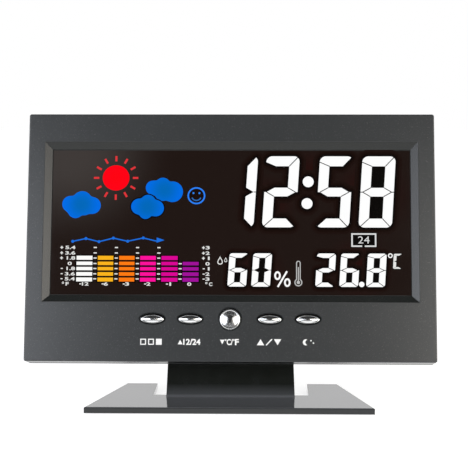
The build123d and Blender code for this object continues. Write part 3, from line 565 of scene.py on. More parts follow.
def case_screw(x, z, head_back, tip):
    """One screw: a head of rings with a cross pressed into it, then a shank whose radius waves as a helix.

    The recess is RECESS_DEPTH where the lesser of the two distances to the cross's axes is under
    RECESS_HALF, and the greater under RECESS_REACH. A thread's radius follows the cosine of the
    depth in pitches less the turn.
    """
    turn = round_turn(SCREW_STEPS)
    share = np.linspace(0.04, 1.0, HEAD_ROWS)[:, None]
    across, upward = HEAD_RADIUS * share * np.cos(turn), HEAD_RADIUS * share * np.sin(turn)
    least, most = np.minimum(abs(across), abs(upward)), np.maximum(abs(across), abs(upward))
    beside = smooth_step(least, RECESS_HALF - RECESS_SOFT, RECESS_HALF + RECESS_SOFT)
    beyond = smooth_step(most, RECESS_REACH - RECESS_RISE, RECESS_REACH)
    crown = head_back - HEAD_CROWN * share ** 4 - RECESS_DEPTH * (1 - beside) * (1 - beyond)
    head = np.stack([across, crown, upward], axis=-1)
    under = head_back - HEAD_HEIGHT
    shank_depth = np.linspace(under - 0.02, tip + POINT_LENGTH, SHANK_ROWS)
    wave = np.cos(2 * np.pi * shank_depth[:, None] / THREAD_PITCH - turn)
    shank_radius = SHANK_RADIUS - THREAD_HEIGHT * (1 - wave) / 2
    shank = np.stack([shank_radius * np.cos(turn), np.broadcast_to(shank_depth[:, None], wave.shape),
                      shank_radius * np.sin(turn)], axis=-1)
    rim = oval_rings(0.0, 0.0, HEAD_RADIUS, HEAD_RADIUS, [under], SCREW_STEPS)
    point = oval_rings(0.0, 0.0, POINT_RADIUS, POINT_RADIUS, [tip], SCREW_STEPS)
    return turned(np.concatenate([head, rim, shank, point]) + np.array([x, 0.0, z]))


def joined(meshes):
    """Several (points, faces) pairs as one pair."""
    offsets = np.cumsum([0] + [len(points) for points, _ in meshes[:-1]]).tolist()
    faces = [[corner + offset for corner in face]
             for (_, part), offset in zip(meshes, offsets) for face in part]
    return np.concatenate([points for points, _ in meshes]), faces


screw_low, screw_high = case_box("case_screws")
SCREW_X = screw_high[0] - HEAD_RADIUS
SCREW_Z = (screw_low[2] + HEAD_RADIUS, screw_high[2] - HEAD_RADIUS)
screw_points, screw_faces = joined([case_screw(side * SCREW_X, height, screw_high[1], screw_low[1])
                                    for side in (-1, 1) for height in SCREW_Z])
piece("cross_head_screws", on_case(screw_points), screw_faces, FINISHES["screw_steel"],
      smooth=True, replaced=["case_screws"])


# Flat marks: outlines on the lens or the face, filled and given a hair of thickness

MARK_LEVEL = 0.01              # each level of a mark stands this much nearer the eye
MARK_SINK = 0.03               # how far a mark's back lies under the face that carries it
SHAPE_STEP = 0.045             # levels between one shape of a mark and the next, so none lie in one plane


def filled(outlines):
    """Points and faces of flat outlines filled between them, from back (0) to front (1)."""
    curve = bpy.data.curves.new("outline", "CURVE")
    curve.dimensions = "2D"
    curve.fill_mode = "BOTH"
    curve.extrude = 0.5
    for outline in outlines:
        spline = curve.splines.new("POLY")
        spline.points.add(len(outline) - 1)
        corners = np.column_stack([outline, np.zeros(len(outline)), np.ones(len(outline))])
        spline.points.foreach_set("co", corners.ravel())
        spline.use_cyclic_u = True
    return read_flat(curve)


def each_filled(outlines):
    """Each outline filled on its own."""
    return [filled([outline]) for outline in outlines]


def read_flat(curve):
    """A flat curve or text, once it is made a mesh, as points and faces."""
    holder = bpy.data.objects.new("outline", curve)
    mesh = bpy.data.meshes.new_from_object(holder)
    points = np.empty(len(mesh.vertices) * 3, np.float32)
    mesh.vertices.foreach_get("co", points)
    faces = [list(polygon.vertices) for polygon in mesh.polygons]
    bpy.data.objects.remove(holder)
    bpy.data.meshes.remove(mesh)
    flat = points.reshape(-1, 3).astype(float)
    flat[:, 2] += 0.5
    return flat, faces


def glyphs(text, left, right, low, high, weight=0.03):
    """Plain figures and unit signs, made a mesh and fitted between the four given edges."""
    words = bpy.data.curves.new("figures", "FONT")
    words.body = text
    words.size = 1.0
    words.offset = weight
    words.extrude = 0.5
    flat, faces = read_flat(words)
    least, most = flat.min(0), flat.max(0)
    flat[:, 0] = left + (flat[:, 0] - least[0]) * (right - left) / (most[0] - least[0])
    flat[:, 1] = low + (flat[:, 1] - least[1]) * (high - low) / (most[1] - least[1])
    return flat, faces


def marks(name, groups, finish, level=4, face=LENS_FACE):
    """A piece from filled groups: flat points (across, up, back to front) laid on the case.

    Each group stands a small step nearer the eye than the one before it.
    """
    flat, faces = joined(groups)
    order = np.repeat(np.arange(len(groups)), [len(points) for points, _ in groups])
    front = face - (level + SHAPE_STEP * order) * MARK_LEVEL
    back = face + MARK_SINK
    placed = np.column_stack([flat[:, 0], back + (front - back) * flat[:, 2], flat[:, 1]])
    piece(name, on_case(placed), faces, finish)


def arc(x, z, radius, start, end, steps=8):
    """Points on an arc of a circle, in degrees from start to end."""
    turn = np.radians(np.linspace(start, end, steps))
    return np.column_stack([x + radius * np.cos(turn), z + radius * np.sin(turn)])


def circle(x, z, radius, steps=48):
    """A whole circle's outline, its last point apart from its first."""
    return arc(x, z, radius, 0, 360 * (steps - 1) / steps, steps)


def stroke(start, end, width, round_ends=False):
    """A straight line of some width: its four corners, or two half circles where its ends are round."""
    start, end = np.array(start, float), np.array(end, float)
    heading = math.degrees(math.atan2(end[1] - start[1], end[0] - start[0]))
    if round_ends:
        return np.concatenate([arc(*end, width / 2, heading - 90, heading + 90, 9),
                               arc(*start, width / 2, heading + 90, heading + 270, 9)])
    side = width / 2 * np.array([-math.sin(math.radians(heading)), math.cos(math.radians(heading))])
    return np.stack([start - side, end - side, end + side, start + side])


def box_outline(left, right, low, high):
    """A rectangle's four corners."""
    return np.array([(left, low), (right, low), (right, high), (left, high)], float)


def ways_round(steps):
    """Directions all the way round, as pairs (across, up) of length one."""
    turn = round_turn(steps)
    return np.column_stack([np.cos(turn), np.sin(turn)])


def grown(outline, margin, steps=56):
    """A convex outline pushed out by a margin: its furthest corner each way, plus the margin that way."""
    ways = ways_round(steps)
    return outline[np.argmax(outline @ ways.T, axis=0)] + margin * ways


def ring(x, z, radius, width):
    """A ring: its outer and its inner circle."""
    return [circle(x, z, radius), circle(x, z, radius - width)[::-1]]


def pressed(outlines, z, share):
    """Outlines pressed together in height, towards a height z, to a share of what they were."""
    return [outline * (1.0, share) + (0.0, z * (1 - share)) for outline in outlines]


# Seven-segment figures

SHOWN = {"0": "abcdef", "1": "bc", "2": "abdeg", "5": "acdfg", "6": "acdefg", "8": "abcdefg", "C": "adef"}
CLOSED = {"0": ("upper", "lower"), "6": ("lower",), "8": ("upper", "lower")}   # windows with no way out
BIG = {"width": 13.9, "height": 30.2, "stroke": 4.15, "top": 4.25, "bottom": 3.75, "waist": 1.85,
       "corner": 2.4, "shear": 1.95, "gap": 0.36}
SMALL = {"width": 7.8, "height": 13.95, "stroke": 2.62, "top": 1.88, "bottom": 1.78, "waist": 0.9,
         "corner": 1.15, "shear": 0.9, "gap": 0.28}
TINY = {"width": 3.45, "height": 6.3, "stroke": 1.2, "top": 0.8, "bottom": 0.75, "waist": 0.3,
        "corner": 0.5, "shear": 0.4, "gap": 0.07}
WAIST_PLACE = 0.495            # share of a figure's height at which its waist lies
TIP_PLACE = 0.22               # share of a stroke's width from the figure's side to the waist's tips
UPPER_SLIT, LOWER_SLIT, LEFT_SLIT = 50, -52, 230   # where slits meet the outer arcs, in degrees


def segment_shapes(size):
    """Outlines of the segments and of the windows from the figure's lower left corner, and the slits.

    Segments a to f run clockwise from the top, and g is the waist. The outer corners are arcs, cut
    where a slit runs from the arc to the window's corner.
    """
    w, h, r, s = size["width"], size["height"], size["corner"], size["stroke"]
    middle = WAIST_PLACE * h
    tip = TIP_PLACE * s
    waist = size["waist"]
    upper_left, upper_right = (s, h - size["top"]), (w - s, h - size["top"])
    lower_left, lower_right = (s, size["bottom"]), (w - s, size["bottom"])
    left_cut = (0.0, h - 1.04 * r)
    corners = {"b": arc(w - r, h - r, r, UPPER_SLIT, 0), "a_right": arc(w - r, h - r, r, 90, UPPER_SLIT),
               "a_left": arc(r, h - r, r, 180, 90), "c": arc(w - r, r, r, 0, LOWER_SLIT),
               "d_right": arc(w - r, r, r, LOWER_SLIT, -90), "d_left": arc(r, r, r, 270, LEFT_SLIT),
               "e": arc(r, r, r, LEFT_SLIT, 180)}
    left_tip, right_tip = (tip, middle), (w - tip, middle)
    shapes = {
        "a": [[left_cut], corners["a_left"], corners["a_right"], [upper_right, upper_left]],
        "b": [[upper_right], corners["b"], [(w, middle), right_tip, (w - s, middle + waist)]],
        "c": [[(w - s, middle - waist), right_tip, (w, middle)], corners["c"], [lower_right]],
        "d": [[lower_right], corners["d_right"], corners["d_left"], [lower_left]],
        "e": [[lower_left], corners["e"], [(0.0, middle), left_tip, (s, middle - waist)]],
        "f": [[(s, middle + waist), left_tip, (0.0, middle), left_cut, upper_left]],
        "g": [[left_tip, (s, middle + waist), (w - s, middle + waist), right_tip,
               (w - s, middle - waist), (s, middle - waist)]],
        "upper": [[(s, middle), (w - s, middle), upper_right, upper_left]],
        "lower": [[lower_left, lower_right, (w - s, middle), (s, middle)]],
    }
    slits = [("af", left_cut, upper_left), ("ab", corners["b"][0], upper_right),
             ("cd", corners["c"][-1], lower_right), ("de", corners["e"][0], lower_left),
             ("fg", left_tip, (s, middle + waist)), ("eg", left_tip, (s, middle - waist)),
             ("bg", right_tip, (w - s, middle + waist)), ("cg", right_tip, (w - s, middle - waist)),
             ("ef", (-0.1, middle), left_tip), ("bc", right_tip, (w + 0.1, middle))]
    outlines = {key: np.concatenate([np.array(part, float) for part in parts])
                for key, parts in shapes.items()}
    return outlines, slits


def leaning(points, size, left, low):
    """Points of a figure sheared with their height and moved to the figure's place."""
    points = np.asarray(points, float)
    return points @ np.array([[1.0, 0.0], [size["shear"] / size["height"], 1.0]]) + np.array([left, low])


FIGURE_LEVEL, SLIT_LEVEL, WINDOW_LEVEL = 5.2, 6.4, 4.7


def figures(name, size, low, placed, finish, dots, halo):
    """Seven-segment figures, each (figure, left edge), with dots, their slits and the dark field round them.

    The halo is a row of (margin, tone, level), from the darkest and nearest to the faintest.
    """
    outlines, slits = segment_shapes(size)
    shapes, cuts, windows = [], [], []
    for figure, left in placed:
        shown = SHOWN[figure]
        shapes += [leaning(outlines[key], size, left, low) for key in shown]
        cuts += [stroke(*leaning([start, end], size, left, low), size["gap"])
                 for pair, start, end in slits if set(pair) <= set(shown)]
        windows += [leaning(outlines[key], size, left, low) for key in CLOSED.get(figure, ())]
    shapes += dots
    marks(name, each_filled(shapes), finish, FIGURE_LEVEL)
    marks(name + "_slits", each_filled(cuts), DARK_FIELD["core"], SLIT_LEVEL)
    if windows:
        marks(name + "_windows", each_filled(windows), DARK_FIELD["core"], WINDOW_LEVEL)
    for margin, tone, level in halo:
        marks(name + "_field_" + tone, each_filled([grown(shape, margin) for shape in shapes]),
              DARK_FIELD[tone], level)


FIELD_TONES = {"core": "000000", "middle": "080000", "outer": "120401", "faint": "180a07"}
DARK_FIELD = {tone: dark_lens("unlit_" + tone, colour) for tone, colour in FIELD_TONES.items()}
WHITE = lit("white_segments", "ffffff")
SIGN_WHITE = lit("white_signs", "e6e6e4")

TIME_LOW, SMALL_LOW, UNIT_LOW = 56.3, 31.4, 39.0
SOFT_FIELD = ((0.6, "core", 3.6), (1.1, "middle", 2.6), (1.8, "outer", 1.6), (2.8, "faint", 0.6))
THIN_FIELD = ((0.5, "core", 3.6), (0.9, "middle", 2.6), (1.4, "outer", 1.6), (2.1, "faint", 0.6))

figures("time_figures", BIG, TIME_LOW, [("1", -4.45), ("2", 13.0), ("5", 35.4), ("8", 53.2)], WHITE,
        [circle(32.33, 75.63, 2.3), circle(31.82, 66.37, 2.3)], SOFT_FIELD)
figures("humidity_figures", SMALL, SMALL_LOW, [("6", -1.3), ("0", 8.6)], WHITE, [], THIN_FIELD)
figures("temperature_figures", SMALL, SMALL_LOW, [("2", 35.15), ("6", 45.1), ("8", 56.2)], WHITE,
        [circle(54.41, 32.45, 1.13)], THIN_FIELD)
figures("unit_figure", TINY, UNIT_LOW, [("C", 67.4)], SIGN_WHITE, [], ((0.35, "core", 4.6),))


# The other signs of the display

CLOUD_SOFTNESS = 9             # how many neighbouring rays smooth a cloud's outline, an odd number


def cloud_outline(circles, steps=120):
    """The outline round several circles: the furthest crossing of each ray from their middle, smoothed."""
    parts = np.array(circles, float)
    middle = np.average(parts[:, :2], axis=0, weights=parts[:, 2] ** 2)
    ways = ways_round(steps)
    offset = parts[:, :2] - middle
    along = ways @ offset.T
    inside = parts[:, 2] ** 2 - (np.sum(offset ** 2, axis=1) - along ** 2)
    reach = np.where(inside > 0, along + np.sqrt(np.maximum(inside, 0)), 0).max(axis=1)
    weights = np.hanning(CLOUD_SOFTNESS + 2)[1:-1]
    wrapped = np.concatenate([reach[-(CLOUD_SOFTNESS // 2):], reach, reach[:CLOUD_SOFTNESS // 2]])
    smoother = np.convolve(wrapped, weights / weights.sum(), "valid")
    return middle + smoother[:, None] * ways


def drop_outline(x, low, half_width, height, steps=40):
    """A water drop: a circle whose sides draw in to a point with the half turn's sine."""
    turn = round_turn(steps)
    draw = np.sin(turn / 2) ** 1.6
    return np.column_stack([x + half_width * np.sin(turn) * draw * 1.25,
                            low + height * (1 + np.cos(turn)) / 2])


CLOUDS = {
    "left_cloud": ([(-62.4, 67.4, 4.1), (-67.3, 66.0, 3.5), (-58.1, 65.4, 3.6), (-65.1, 63.3, 3.3),
                    (-61.5, 64.4, 3.2)], 5),
    "front_cloud": ([(-38.4, 65.0, 3.4), (-34.7, 66.8, 3.2), (-31.5, 64.3, 3.5), (-35.7, 62.4, 2.7)], 5),
    "rear_cloud": ([(-32.7, 73.0, 3.1), (-28.6, 74.1, 3.2), (-24.5, 71.3, 4.4), (-28.5, 71.0, 3.6)], 3),
}
for cloud, (lobes, cloud_level) in CLOUDS.items():
    outline = cloud_outline(lobes)
    core_x, core_z = ((outline.min(0) + outline.max(0)) / 2).tolist()
    marks(cloud, [filled([outline])],
          lit(cloud + "_blue", "006ce8", "0068ba", (core_x, LENS_FACE, core_z), 9.0), cloud_level)
front_lobes = [(x, z, radius + 0.5) for x, z, radius in CLOUDS["front_cloud"][0]]
marks("front_cloud_field", [filled([cloud_outline(front_lobes)])], DARK_FIELD["core"], 4)

SUN = np.array([-48.31, 77.18])
SUN_RADIUS, RAY_START, RAY_END, RAY_WIDTH = 5.62, 7.07, 9.35, 0.86
marks("sun_disc", [filled(pressed([circle(*SUN, SUN_RADIUS, 72)], SUN[1], 0.96))],
      lit("sun_red", "ff0014", "ff0010", (SUN[0], LENS_FACE, SUN[1]), 5.0))
marks("sun_rays", each_filled([stroke(SUN + RAY_START * way, SUN + RAY_END * way, RAY_WIDTH)
                               for way in ways_round(12)]), lit("ray_red", "e0353a"))

COMFORT = (-14.47, 69.64)
comfort_ring = pressed(ring(*COMFORT, 3.74, 0.64), COMFORT[1], 0.97)
marks("comfort_ring", [filled(comfort_ring)], lit("sign_blue", "2c82fa"))
marks("comfort_field", [filled([circle(*COMFORT, 3.5)])], DARK_FIELD["outer"], 1)
marks("comfort_eyes", each_filled([circle(COMFORT[0] + side * 1.25, COMFORT[1] + 1.1, 0.42, 20)
                                   for side in (-1, 1)]), lit("eye_blue", "3288f0"))
smile = np.concatenate([arc(*COMFORT, 2.25, -155, -25, 20), arc(*COMFORT, 1.78, -25, -155, 20)])
marks("comfort_smile", [filled([smile])], lit("smile_blue", "2f70bb"))

# A small rising and falling line stands over the chart, with an arrow's head at its right end
TREND = [(-66.0, 50.2), (-60.5, 51.4), (-55.0, 50.1), (-49.0, 51.6), (-43.0, 50.3), (-36.5, 51.7),
         (-30.6, 50.3)]
trend_lines = [stroke(start, end, 0.5, True) for start, end in zip(TREND[:-1], TREND[1:])]
trend_dots = [circle(x, z, 0.62, 20) for x, z in TREND[:-1]]
trend_head = np.array([(-30.9, 49.7), (-27.6, 50.8), (-30.9, 51.9)])
marks("trend_line", each_filled([*trend_lines, *trend_dots, trend_head]), lit("trend_blue", "1a6fe0"))

BAR_TRIM = 0.08                # how much narrower a lit bar is than its place, on each side
BAR_ROWS = [(42.45, 44.14), (40.24, 41.68), (38.06, 39.45), (35.75, 37.27), (33.36, 35.01)]
BAR_COLUMNS = [("white", "fffffd", -64.3, -57.5, 5), ("amber", "fbb41c", -55.43, -48.78, 5),
               ("orange", "fe7a10", -46.51, -39.93, 5), ("pink", "ff0f9b", -37.72, -31.04, 5),
               ("magenta", "dc0494", -28.85, -21.94, 5), ("purple", "a0109a", -19.99, -13.19, 4)]
for colour_name, colour, left, right, count in BAR_COLUMNS:
    bars = [box_outline(left + BAR_TRIM, right - BAR_TRIM, low, high) for low, high in BAR_ROWS[-count:]]
    marks("chart_bars_" + colour_name, each_filled(bars), lit("bar_" + colour_name, colour))

SCALE_ROWS = [47.63, 45.35, 43.20, 40.89, 38.79, 36.57, 34.47]
DASH_COLUMNS = [(-56.5, 7), (-47.65, 7), (-38.8, 7), (-29.9, 7), (-20.97, 4)]
DASH_REACH, DASH_WIDTH = 0.65, 0.5
dashes = [stroke((x - DASH_REACH, z), (x + DASH_REACH, z), DASH_WIDTH)
          for x, count in DASH_COLUMNS for z in SCALE_ROWS[-count:]]
marks("chart_dashes", each_filled(dashes), SIGN_WHITE)

FIGURE_WIDTH, FIGURE_HEIGHT = 1.72, 1.45   # one character of the small scales
NARROW = {".": 0.45, "1": 0.62}   # shares of that width for the narrow characters
LONE_ONE = 0.42                # share of it for a one that stands alone
PLUS_WIDTH, MINUS_WIDTH = 1.2, 0.85
SIGN_STROKE = 0.42
PLUS_ARMS = ((0.2, 0.6), (-0.6, -0.2))   # where the upright arms begin and end, from the sign's middle


def figure_width(text):
    """How wide a small number is."""
    return FIGURE_WIDTH * (LONE_ONE if text == "1" else sum(NARROW.get(letter, 1.0) for letter in text))


def scale_figure(text, middle, right):
    """A small plain number at a height, set against its right edge."""
    half = FIGURE_HEIGHT / 2
    return glyphs(text, right - figure_width(text), right, middle - half, middle + half)


def small_sign(middle, right, rising=False):
    """A minus sign, or a plus sign where rising, that stands before a small number."""
    left = right - (PLUS_WIDTH if rising else MINUS_WIDTH)
    strokes = [stroke((left, middle), (right, middle), SIGN_STROKE)]
    if rising:
        x = (left + right) / 2
        strokes += [stroke((x, middle + low), (x, middle + high), SIGN_STROKE) for low, high in PLUS_ARMS]
    return each_filled(strokes)


LEFT_SCALE = ["5.4", "3.6", "1.8", "0", "1.8", "3.6", "5.4"]
RIGHT_SCALE = ["3", "2", "1", "0", "1", "2", "3"]
LEFT_SCALE_EDGE, LEFT_ZERO_EDGE, RIGHT_SCALE_EDGE = -64.8, -66.2, -8.7
SIGN_EDGES = (-69.9, -10.7)    # the right edges of the two scales' signs
LOWER_SCALE = [("12", -60.4), ("6", -51.8), ("3", -43.0), ("2", -34.1), ("1", -25.0), ("0", -17.1)]
LOWER_ROW = 32.35
UNITS = [("F", -68.6, -67.3), ("C", -8.9, -7.5)]
scale_parts = []
for row, (left_text, right_text, z) in enumerate(zip(LEFT_SCALE, RIGHT_SCALE, SCALE_ROWS)):
    scale_parts.append(scale_figure(left_text, z, LEFT_ZERO_EDGE if left_text == "0" else LEFT_SCALE_EDGE))
    scale_parts.append(scale_figure(right_text, z, RIGHT_SCALE_EDGE))
    if right_text != "0":
        for edge in SIGN_EDGES:
            scale_parts += small_sign(z, edge, row < RIGHT_SCALE.index("0"))
for text, centre in LOWER_SCALE:
    scale_parts.append(scale_figure(text, LOWER_ROW, centre + figure_width(text) / 2))
    if text != "0":
        scale_parts += small_sign(LOWER_ROW, centre - 0.2 - 0.72 * len(text))
for letter, left, right in UNITS:
    scale_parts.append(glyphs(letter, left, right, 31.6, 33.1))
    scale_parts.append(filled(ring(left - 1.1, 32.8, 0.45, 0.25)))
marks("chart_figures", scale_parts, SIGN_WHITE)


def percent_sign(left, right, low, high):
    """Two upright rings and the slanting stroke between them."""
    width, height = right - left, high - low
    parts = []
    for x, z in ((left + 0.2 * width, high - 0.28 * height), (right - 0.2 * width, low + 0.28 * height)):
        outer = circle(0, 0, 1.0) * (0.2 * width, 0.28 * height) + (x, z)
        inner = circle(0, 0, 1.0)[::-1] * (0.09 * width, 0.16 * height) + (x, z)
        parts.append(filled([outer, inner]))
    return parts + [filled([stroke((left + 0.22 * width, low), (right - 0.22 * width, high), 0.75)])]


marks("percent_sign", percent_sign(18.18, 24.97, 31.3, 37.85), WHITE)


def hollow_drop(x, low, half_width, height, inner):
    """A drop with a smaller drop, of a share of its size, cut out of it."""
    hole = drop_outline(x, low + (1 - inner) * height * 0.36, half_width * inner, height * inner)
    return filled([drop_outline(x, low, half_width, height), hole[::-1]])


DROPS = [(-4.35, 40.57, 1.32, 3.55, 0.66), (-2.0, 41.6, 0.72, 2.1, 0.6)]
marks("humidity_drops", [hollow_drop(*drop) for drop in DROPS], SIGN_WHITE)

TUBE_X, TUBE_TOP, BULB_Z = 28.2, 41.3, 33.2


def tube_outline(half_width, bulb_radius, neck, start):
    """A thermometer's outline: its round top, its straight sides down to the neck, and its bulb.

    The bulb's arc begins at start degrees and ends at the same place on the other side.
    """
    top = arc(TUBE_X, TUBE_TOP, half_width, 0, 180, 16)
    bulb = arc(TUBE_X, BULB_Z, bulb_radius, start, 540 - start, 32)
    neck_left, neck_right = ([(TUBE_X + side * half_width, BULB_Z + neck)] for side in (-1, 1))
    return np.concatenate([top, neck_left, bulb, neck_right])


tube = filled([tube_outline(0.95, 1.65, 1.3, 126), tube_outline(0.55, 1.2, 1.1, 120)[::-1]])
fluid = each_filled([circle(TUBE_X, BULB_Z, 0.72, 24), stroke((TUBE_X, BULB_Z), (TUBE_X, 39.6), 0.42)])
marks("thermometer_sign", [tube, *fluid], lit("thermometer_white", "bdbdbc"))

marks("degree_ring", [filled(ring(66.35, 44.5, 1.0, 0.45))], WHITE, FIGURE_LEVEL)

DAY_LEFT, DAY_RIGHT, DAY_LOW, DAY_HIGH, DAY_BORDER = 50.2, 60.62, 48.14, 53.89, 0.63
DAY_INSIDE = (DAY_LEFT + DAY_BORDER, DAY_RIGHT - DAY_BORDER)
DAY_OPENING = (54.7, 55.8)     # the gap in the frame's lower side
DAY_SIDES = [(DAY_LEFT, DAY_INSIDE[0], DAY_LOW, DAY_HIGH), (DAY_INSIDE[1], DAY_RIGHT, DAY_LOW, DAY_HIGH),
             (*DAY_INSIDE, DAY_HIGH - DAY_BORDER, DAY_HIGH),
             (DAY_INSIDE[0], DAY_OPENING[0], DAY_LOW, DAY_LOW + DAY_BORDER),
             (DAY_OPENING[1], DAY_INSIDE[1], DAY_LOW, DAY_LOW + DAY_BORDER)]
day_sides = each_filled([box_outline(*side) for side in DAY_SIDES])
marks("day_box", day_sides + [glyphs("24", 53.0, 57.8, 49.6, 52.6, 0.0)], lit("day_white", "dcdcdc"))
marks("day_box_field", each_filled([grown(box_outline(DAY_LEFT, DAY_RIGHT, DAY_LOW, DAY_HIGH), 0.35)]),
      DARK_FIELD["core"], 3.5)

CHART_MARGIN = 0.5
chart_field = [box_outline(left - CHART_MARGIN, right + CHART_MARGIN, BAR_ROWS[-1][0] - CHART_MARGIN,
                           BAR_ROWS[-count][1] + CHART_MARGIN) for _, _, left, right, count in BAR_COLUMNS]
marks("chart_field", each_filled(chart_field), DARK_FIELD["core"], 1)


# Thin painted shadow lines: dark strips round the surround, round the window, and in the wells round the caps,
# where there is only shade

# painted shadow: the near-black plastic of the strips that stand for shade in the grooves and wells
PAINTED_SHADOW_BLACK = plain_plastic("painted_shadow_black", "0c0d0d", "161717", 0.7)
LINE_WIDE = 0.3
WINDOW_HALF, WINDOW_LOW, WINDOW_HIGH = 75.15, 27.6, 89.2


def frame_line(left, right, low, high):
    """A thin rectangular frame inside the four given edges."""
    inner = box_outline(left + LINE_WIDE, right - LINE_WIDE, low + LINE_WIDE, high - LINE_WIDE)
    return filled([box_outline(left, right, low, high), inner[::-1]])


marks("surround_edge_line", [frame_line(-SURROUND_HALF - LINE_WIDE, SURROUND_HALF + LINE_WIDE,
                                        SURROUND_LOW - LINE_WIDE, SURROUND_HIGH + LINE_WIDE)],
      plain_plastic("edge_shade", "232526", "2b2d2e", 0.6), 1, 0.0)
marks("window_edge_line", [frame_line(-WINDOW_HALF, WINDOW_HALF, WINDOW_LOW, WINDOW_HIGH)], PAINTED_SHADOW_BLACK, 1)

WELL_OVALS = {"oval": (4.95, 1.95), "round": (4.3, 4.3)}
# The band's four corners, each as how far it lies beyond the well's oval, how far it hangs and its depth
WELL_BAND = np.array([(1.0, 0.32, -0.008), (0.36, 0.0, 0.41), (0.36, 0.0, 0.45), (1.0, 0.32, 0.032)])


def well_line(key):
    """The dark shade in a cap's well: a thin closed band that follows the countersunk rim.

    Its section is a slanting sliver, and each of its corners goes once round the cap on an ellipse.
    """
    low, high = case_box("button_" + key)
    middle_x, _, middle_z = (low + high) / 2
    half_width, half_height = WELL_OVALS["round" if key == "centre" else "oval"]
    beyond, hang, depth = WELL_BAND.T
    rings = oval_rings(middle_x, middle_z - hang, half_width + beyond, half_height + beyond + hang, depth,
                       CAP_STEPS)
    index = np.arange(rings[..., 0].size).reshape(rings.shape[:2])
    after = np.roll(index, -1, axis=1)
    faces = np.stack([index, after, np.roll(after, -1, axis=0), np.roll(index, -1, axis=0)], axis=-1)
    piece(key + "_well_shade", on_case(rings.reshape(-1, 3)), faces.reshape(-1, 4).tolist(), PAINTED_SHADOW_BLACK,
          smooth=True)


for cap in CAP_SIZES:
    well_line(cap)


# Signs printed under the buttons: no words, only figures, units and simple pictures

INK = printed_ink("white_ink", "d4d4d2", "ececea")
SIGN_LOW, SIGN_HIGH = 6.9, 9.4
SIGN_MIDDLE = (SIGN_LOW + SIGN_HIGH) / 2


def triangle(x, half_width, base, point):
    """A triangle standing on its base, or hanging from it where the point is lower."""
    return np.array([(x - half_width, base), (x + half_width, base), (x, point)], float)


def print_signs(name, groups):
    """Ink signs on the front face."""
    marks(name, groups, INK, 2, 0.0)


def printed_text(text, left, right):
    """Figures or a unit at the height of the signs."""
    return glyphs(text, left, right, SIGN_LOW, SIGN_HIGH)


def printed_square(left, side=SIGN_HIGH - SIGN_LOW - 0.1, border=0.42, hollow=True):
    """A square as tall as the signs, with a hole inside its border where it is hollow."""
    square = box_outline(left, left + side, SIGN_LOW, SIGN_HIGH)
    hole = box_outline(left + border, left + side - border, SIGN_LOW + border, SIGN_HIGH - border)[::-1]
    return filled([square, hole] if hollow else [square])


def printed_degree(x):
    """A small ring at the top of the signs."""
    return filled(ring(x, SIGN_HIGH - 0.4, 0.38, 0.22))


print_signs("outer_left_sign", [printed_square(-36.9), printed_square(-33.66),
                                printed_square(-30.42, hollow=False)])
print_signs("inner_left_sign", [filled([triangle(-20.45, 0.98, SIGN_LOW + 0.25, SIGN_HIGH - 0.35)]),
                                printed_text("12/24", -19.2, -12.1)])
print_signs("centre_sign", [filled([triangle(-3.15, 0.95, SIGN_HIGH - 0.3, SIGN_LOW + 0.3)]),
                            printed_degree(-1.75), printed_text("C/", -1.3, 1.25),
                            printed_degree(1.6), printed_text("F", 2.1, 3.7)])
print_signs("inner_right_sign", each_filled([triangle(12.6, 1.5, SIGN_LOW, SIGN_HIGH),
                                             stroke((14.9, SIGN_LOW), (17.3, SIGN_HIGH), 0.5),
                                             triangle(19.6, 1.5, SIGN_HIGH, SIGN_LOW)]))
moon = np.concatenate([arc(31.2, SIGN_MIDDLE, 1.25, 60, 300, 24), arc(32.1, SIGN_MIDDLE, 1.1, 255, 105, 18)])
print_signs("outer_right_sign", each_filled([moon, circle(33.3, SIGN_MIDDLE + 0.7, 0.3, 16),
                                             circle(34.3, SIGN_MIDDLE - 0.3, 0.3, 16)]))


# Stage, lamps and camera

FLOOR_REACH = 4.0              # metres from the middle to each side
FLOOR_STEPS = 9                # points along each side
FLOOR_GLOW = 0.78
SHADED_FLOOR = 0.1             # share of the glow that reflections show of the floor before the clock
SHADE_START, SHADE_END = -0.14, -0.05   # metres along the floor over which that share rises to one
WHITE_LIGHT = (1.0, 1.0, 1.0, 1.0)


def stage_floor():
    """A wide pale floor: a flat square grid of points, under the stand's feet."""
    steps = np.linspace(-FLOOR_REACH, FLOOR_REACH, FLOOR_STEPS)
    x, y = np.meshgrid(steps, steps)
    points = np.stack([x, y, np.zeros_like(x)], axis=-1).reshape(-1, 3)
    index = np.arange(FLOOR_STEPS ** 2).reshape(FLOOR_STEPS, FLOOR_STEPS)
    faces = np.stack([index[:-1, :-1], index[:-1, 1:], index[1:, 1:], index[1:, :-1]], axis=-1).reshape(-1, 4)
    mesh = bpy.data.meshes.new("floor")
    mesh.from_pydata(points.tolist(), [], faces.tolist())
    mesh.materials.append(pale_floor())
    in_scene("floor", mesh)


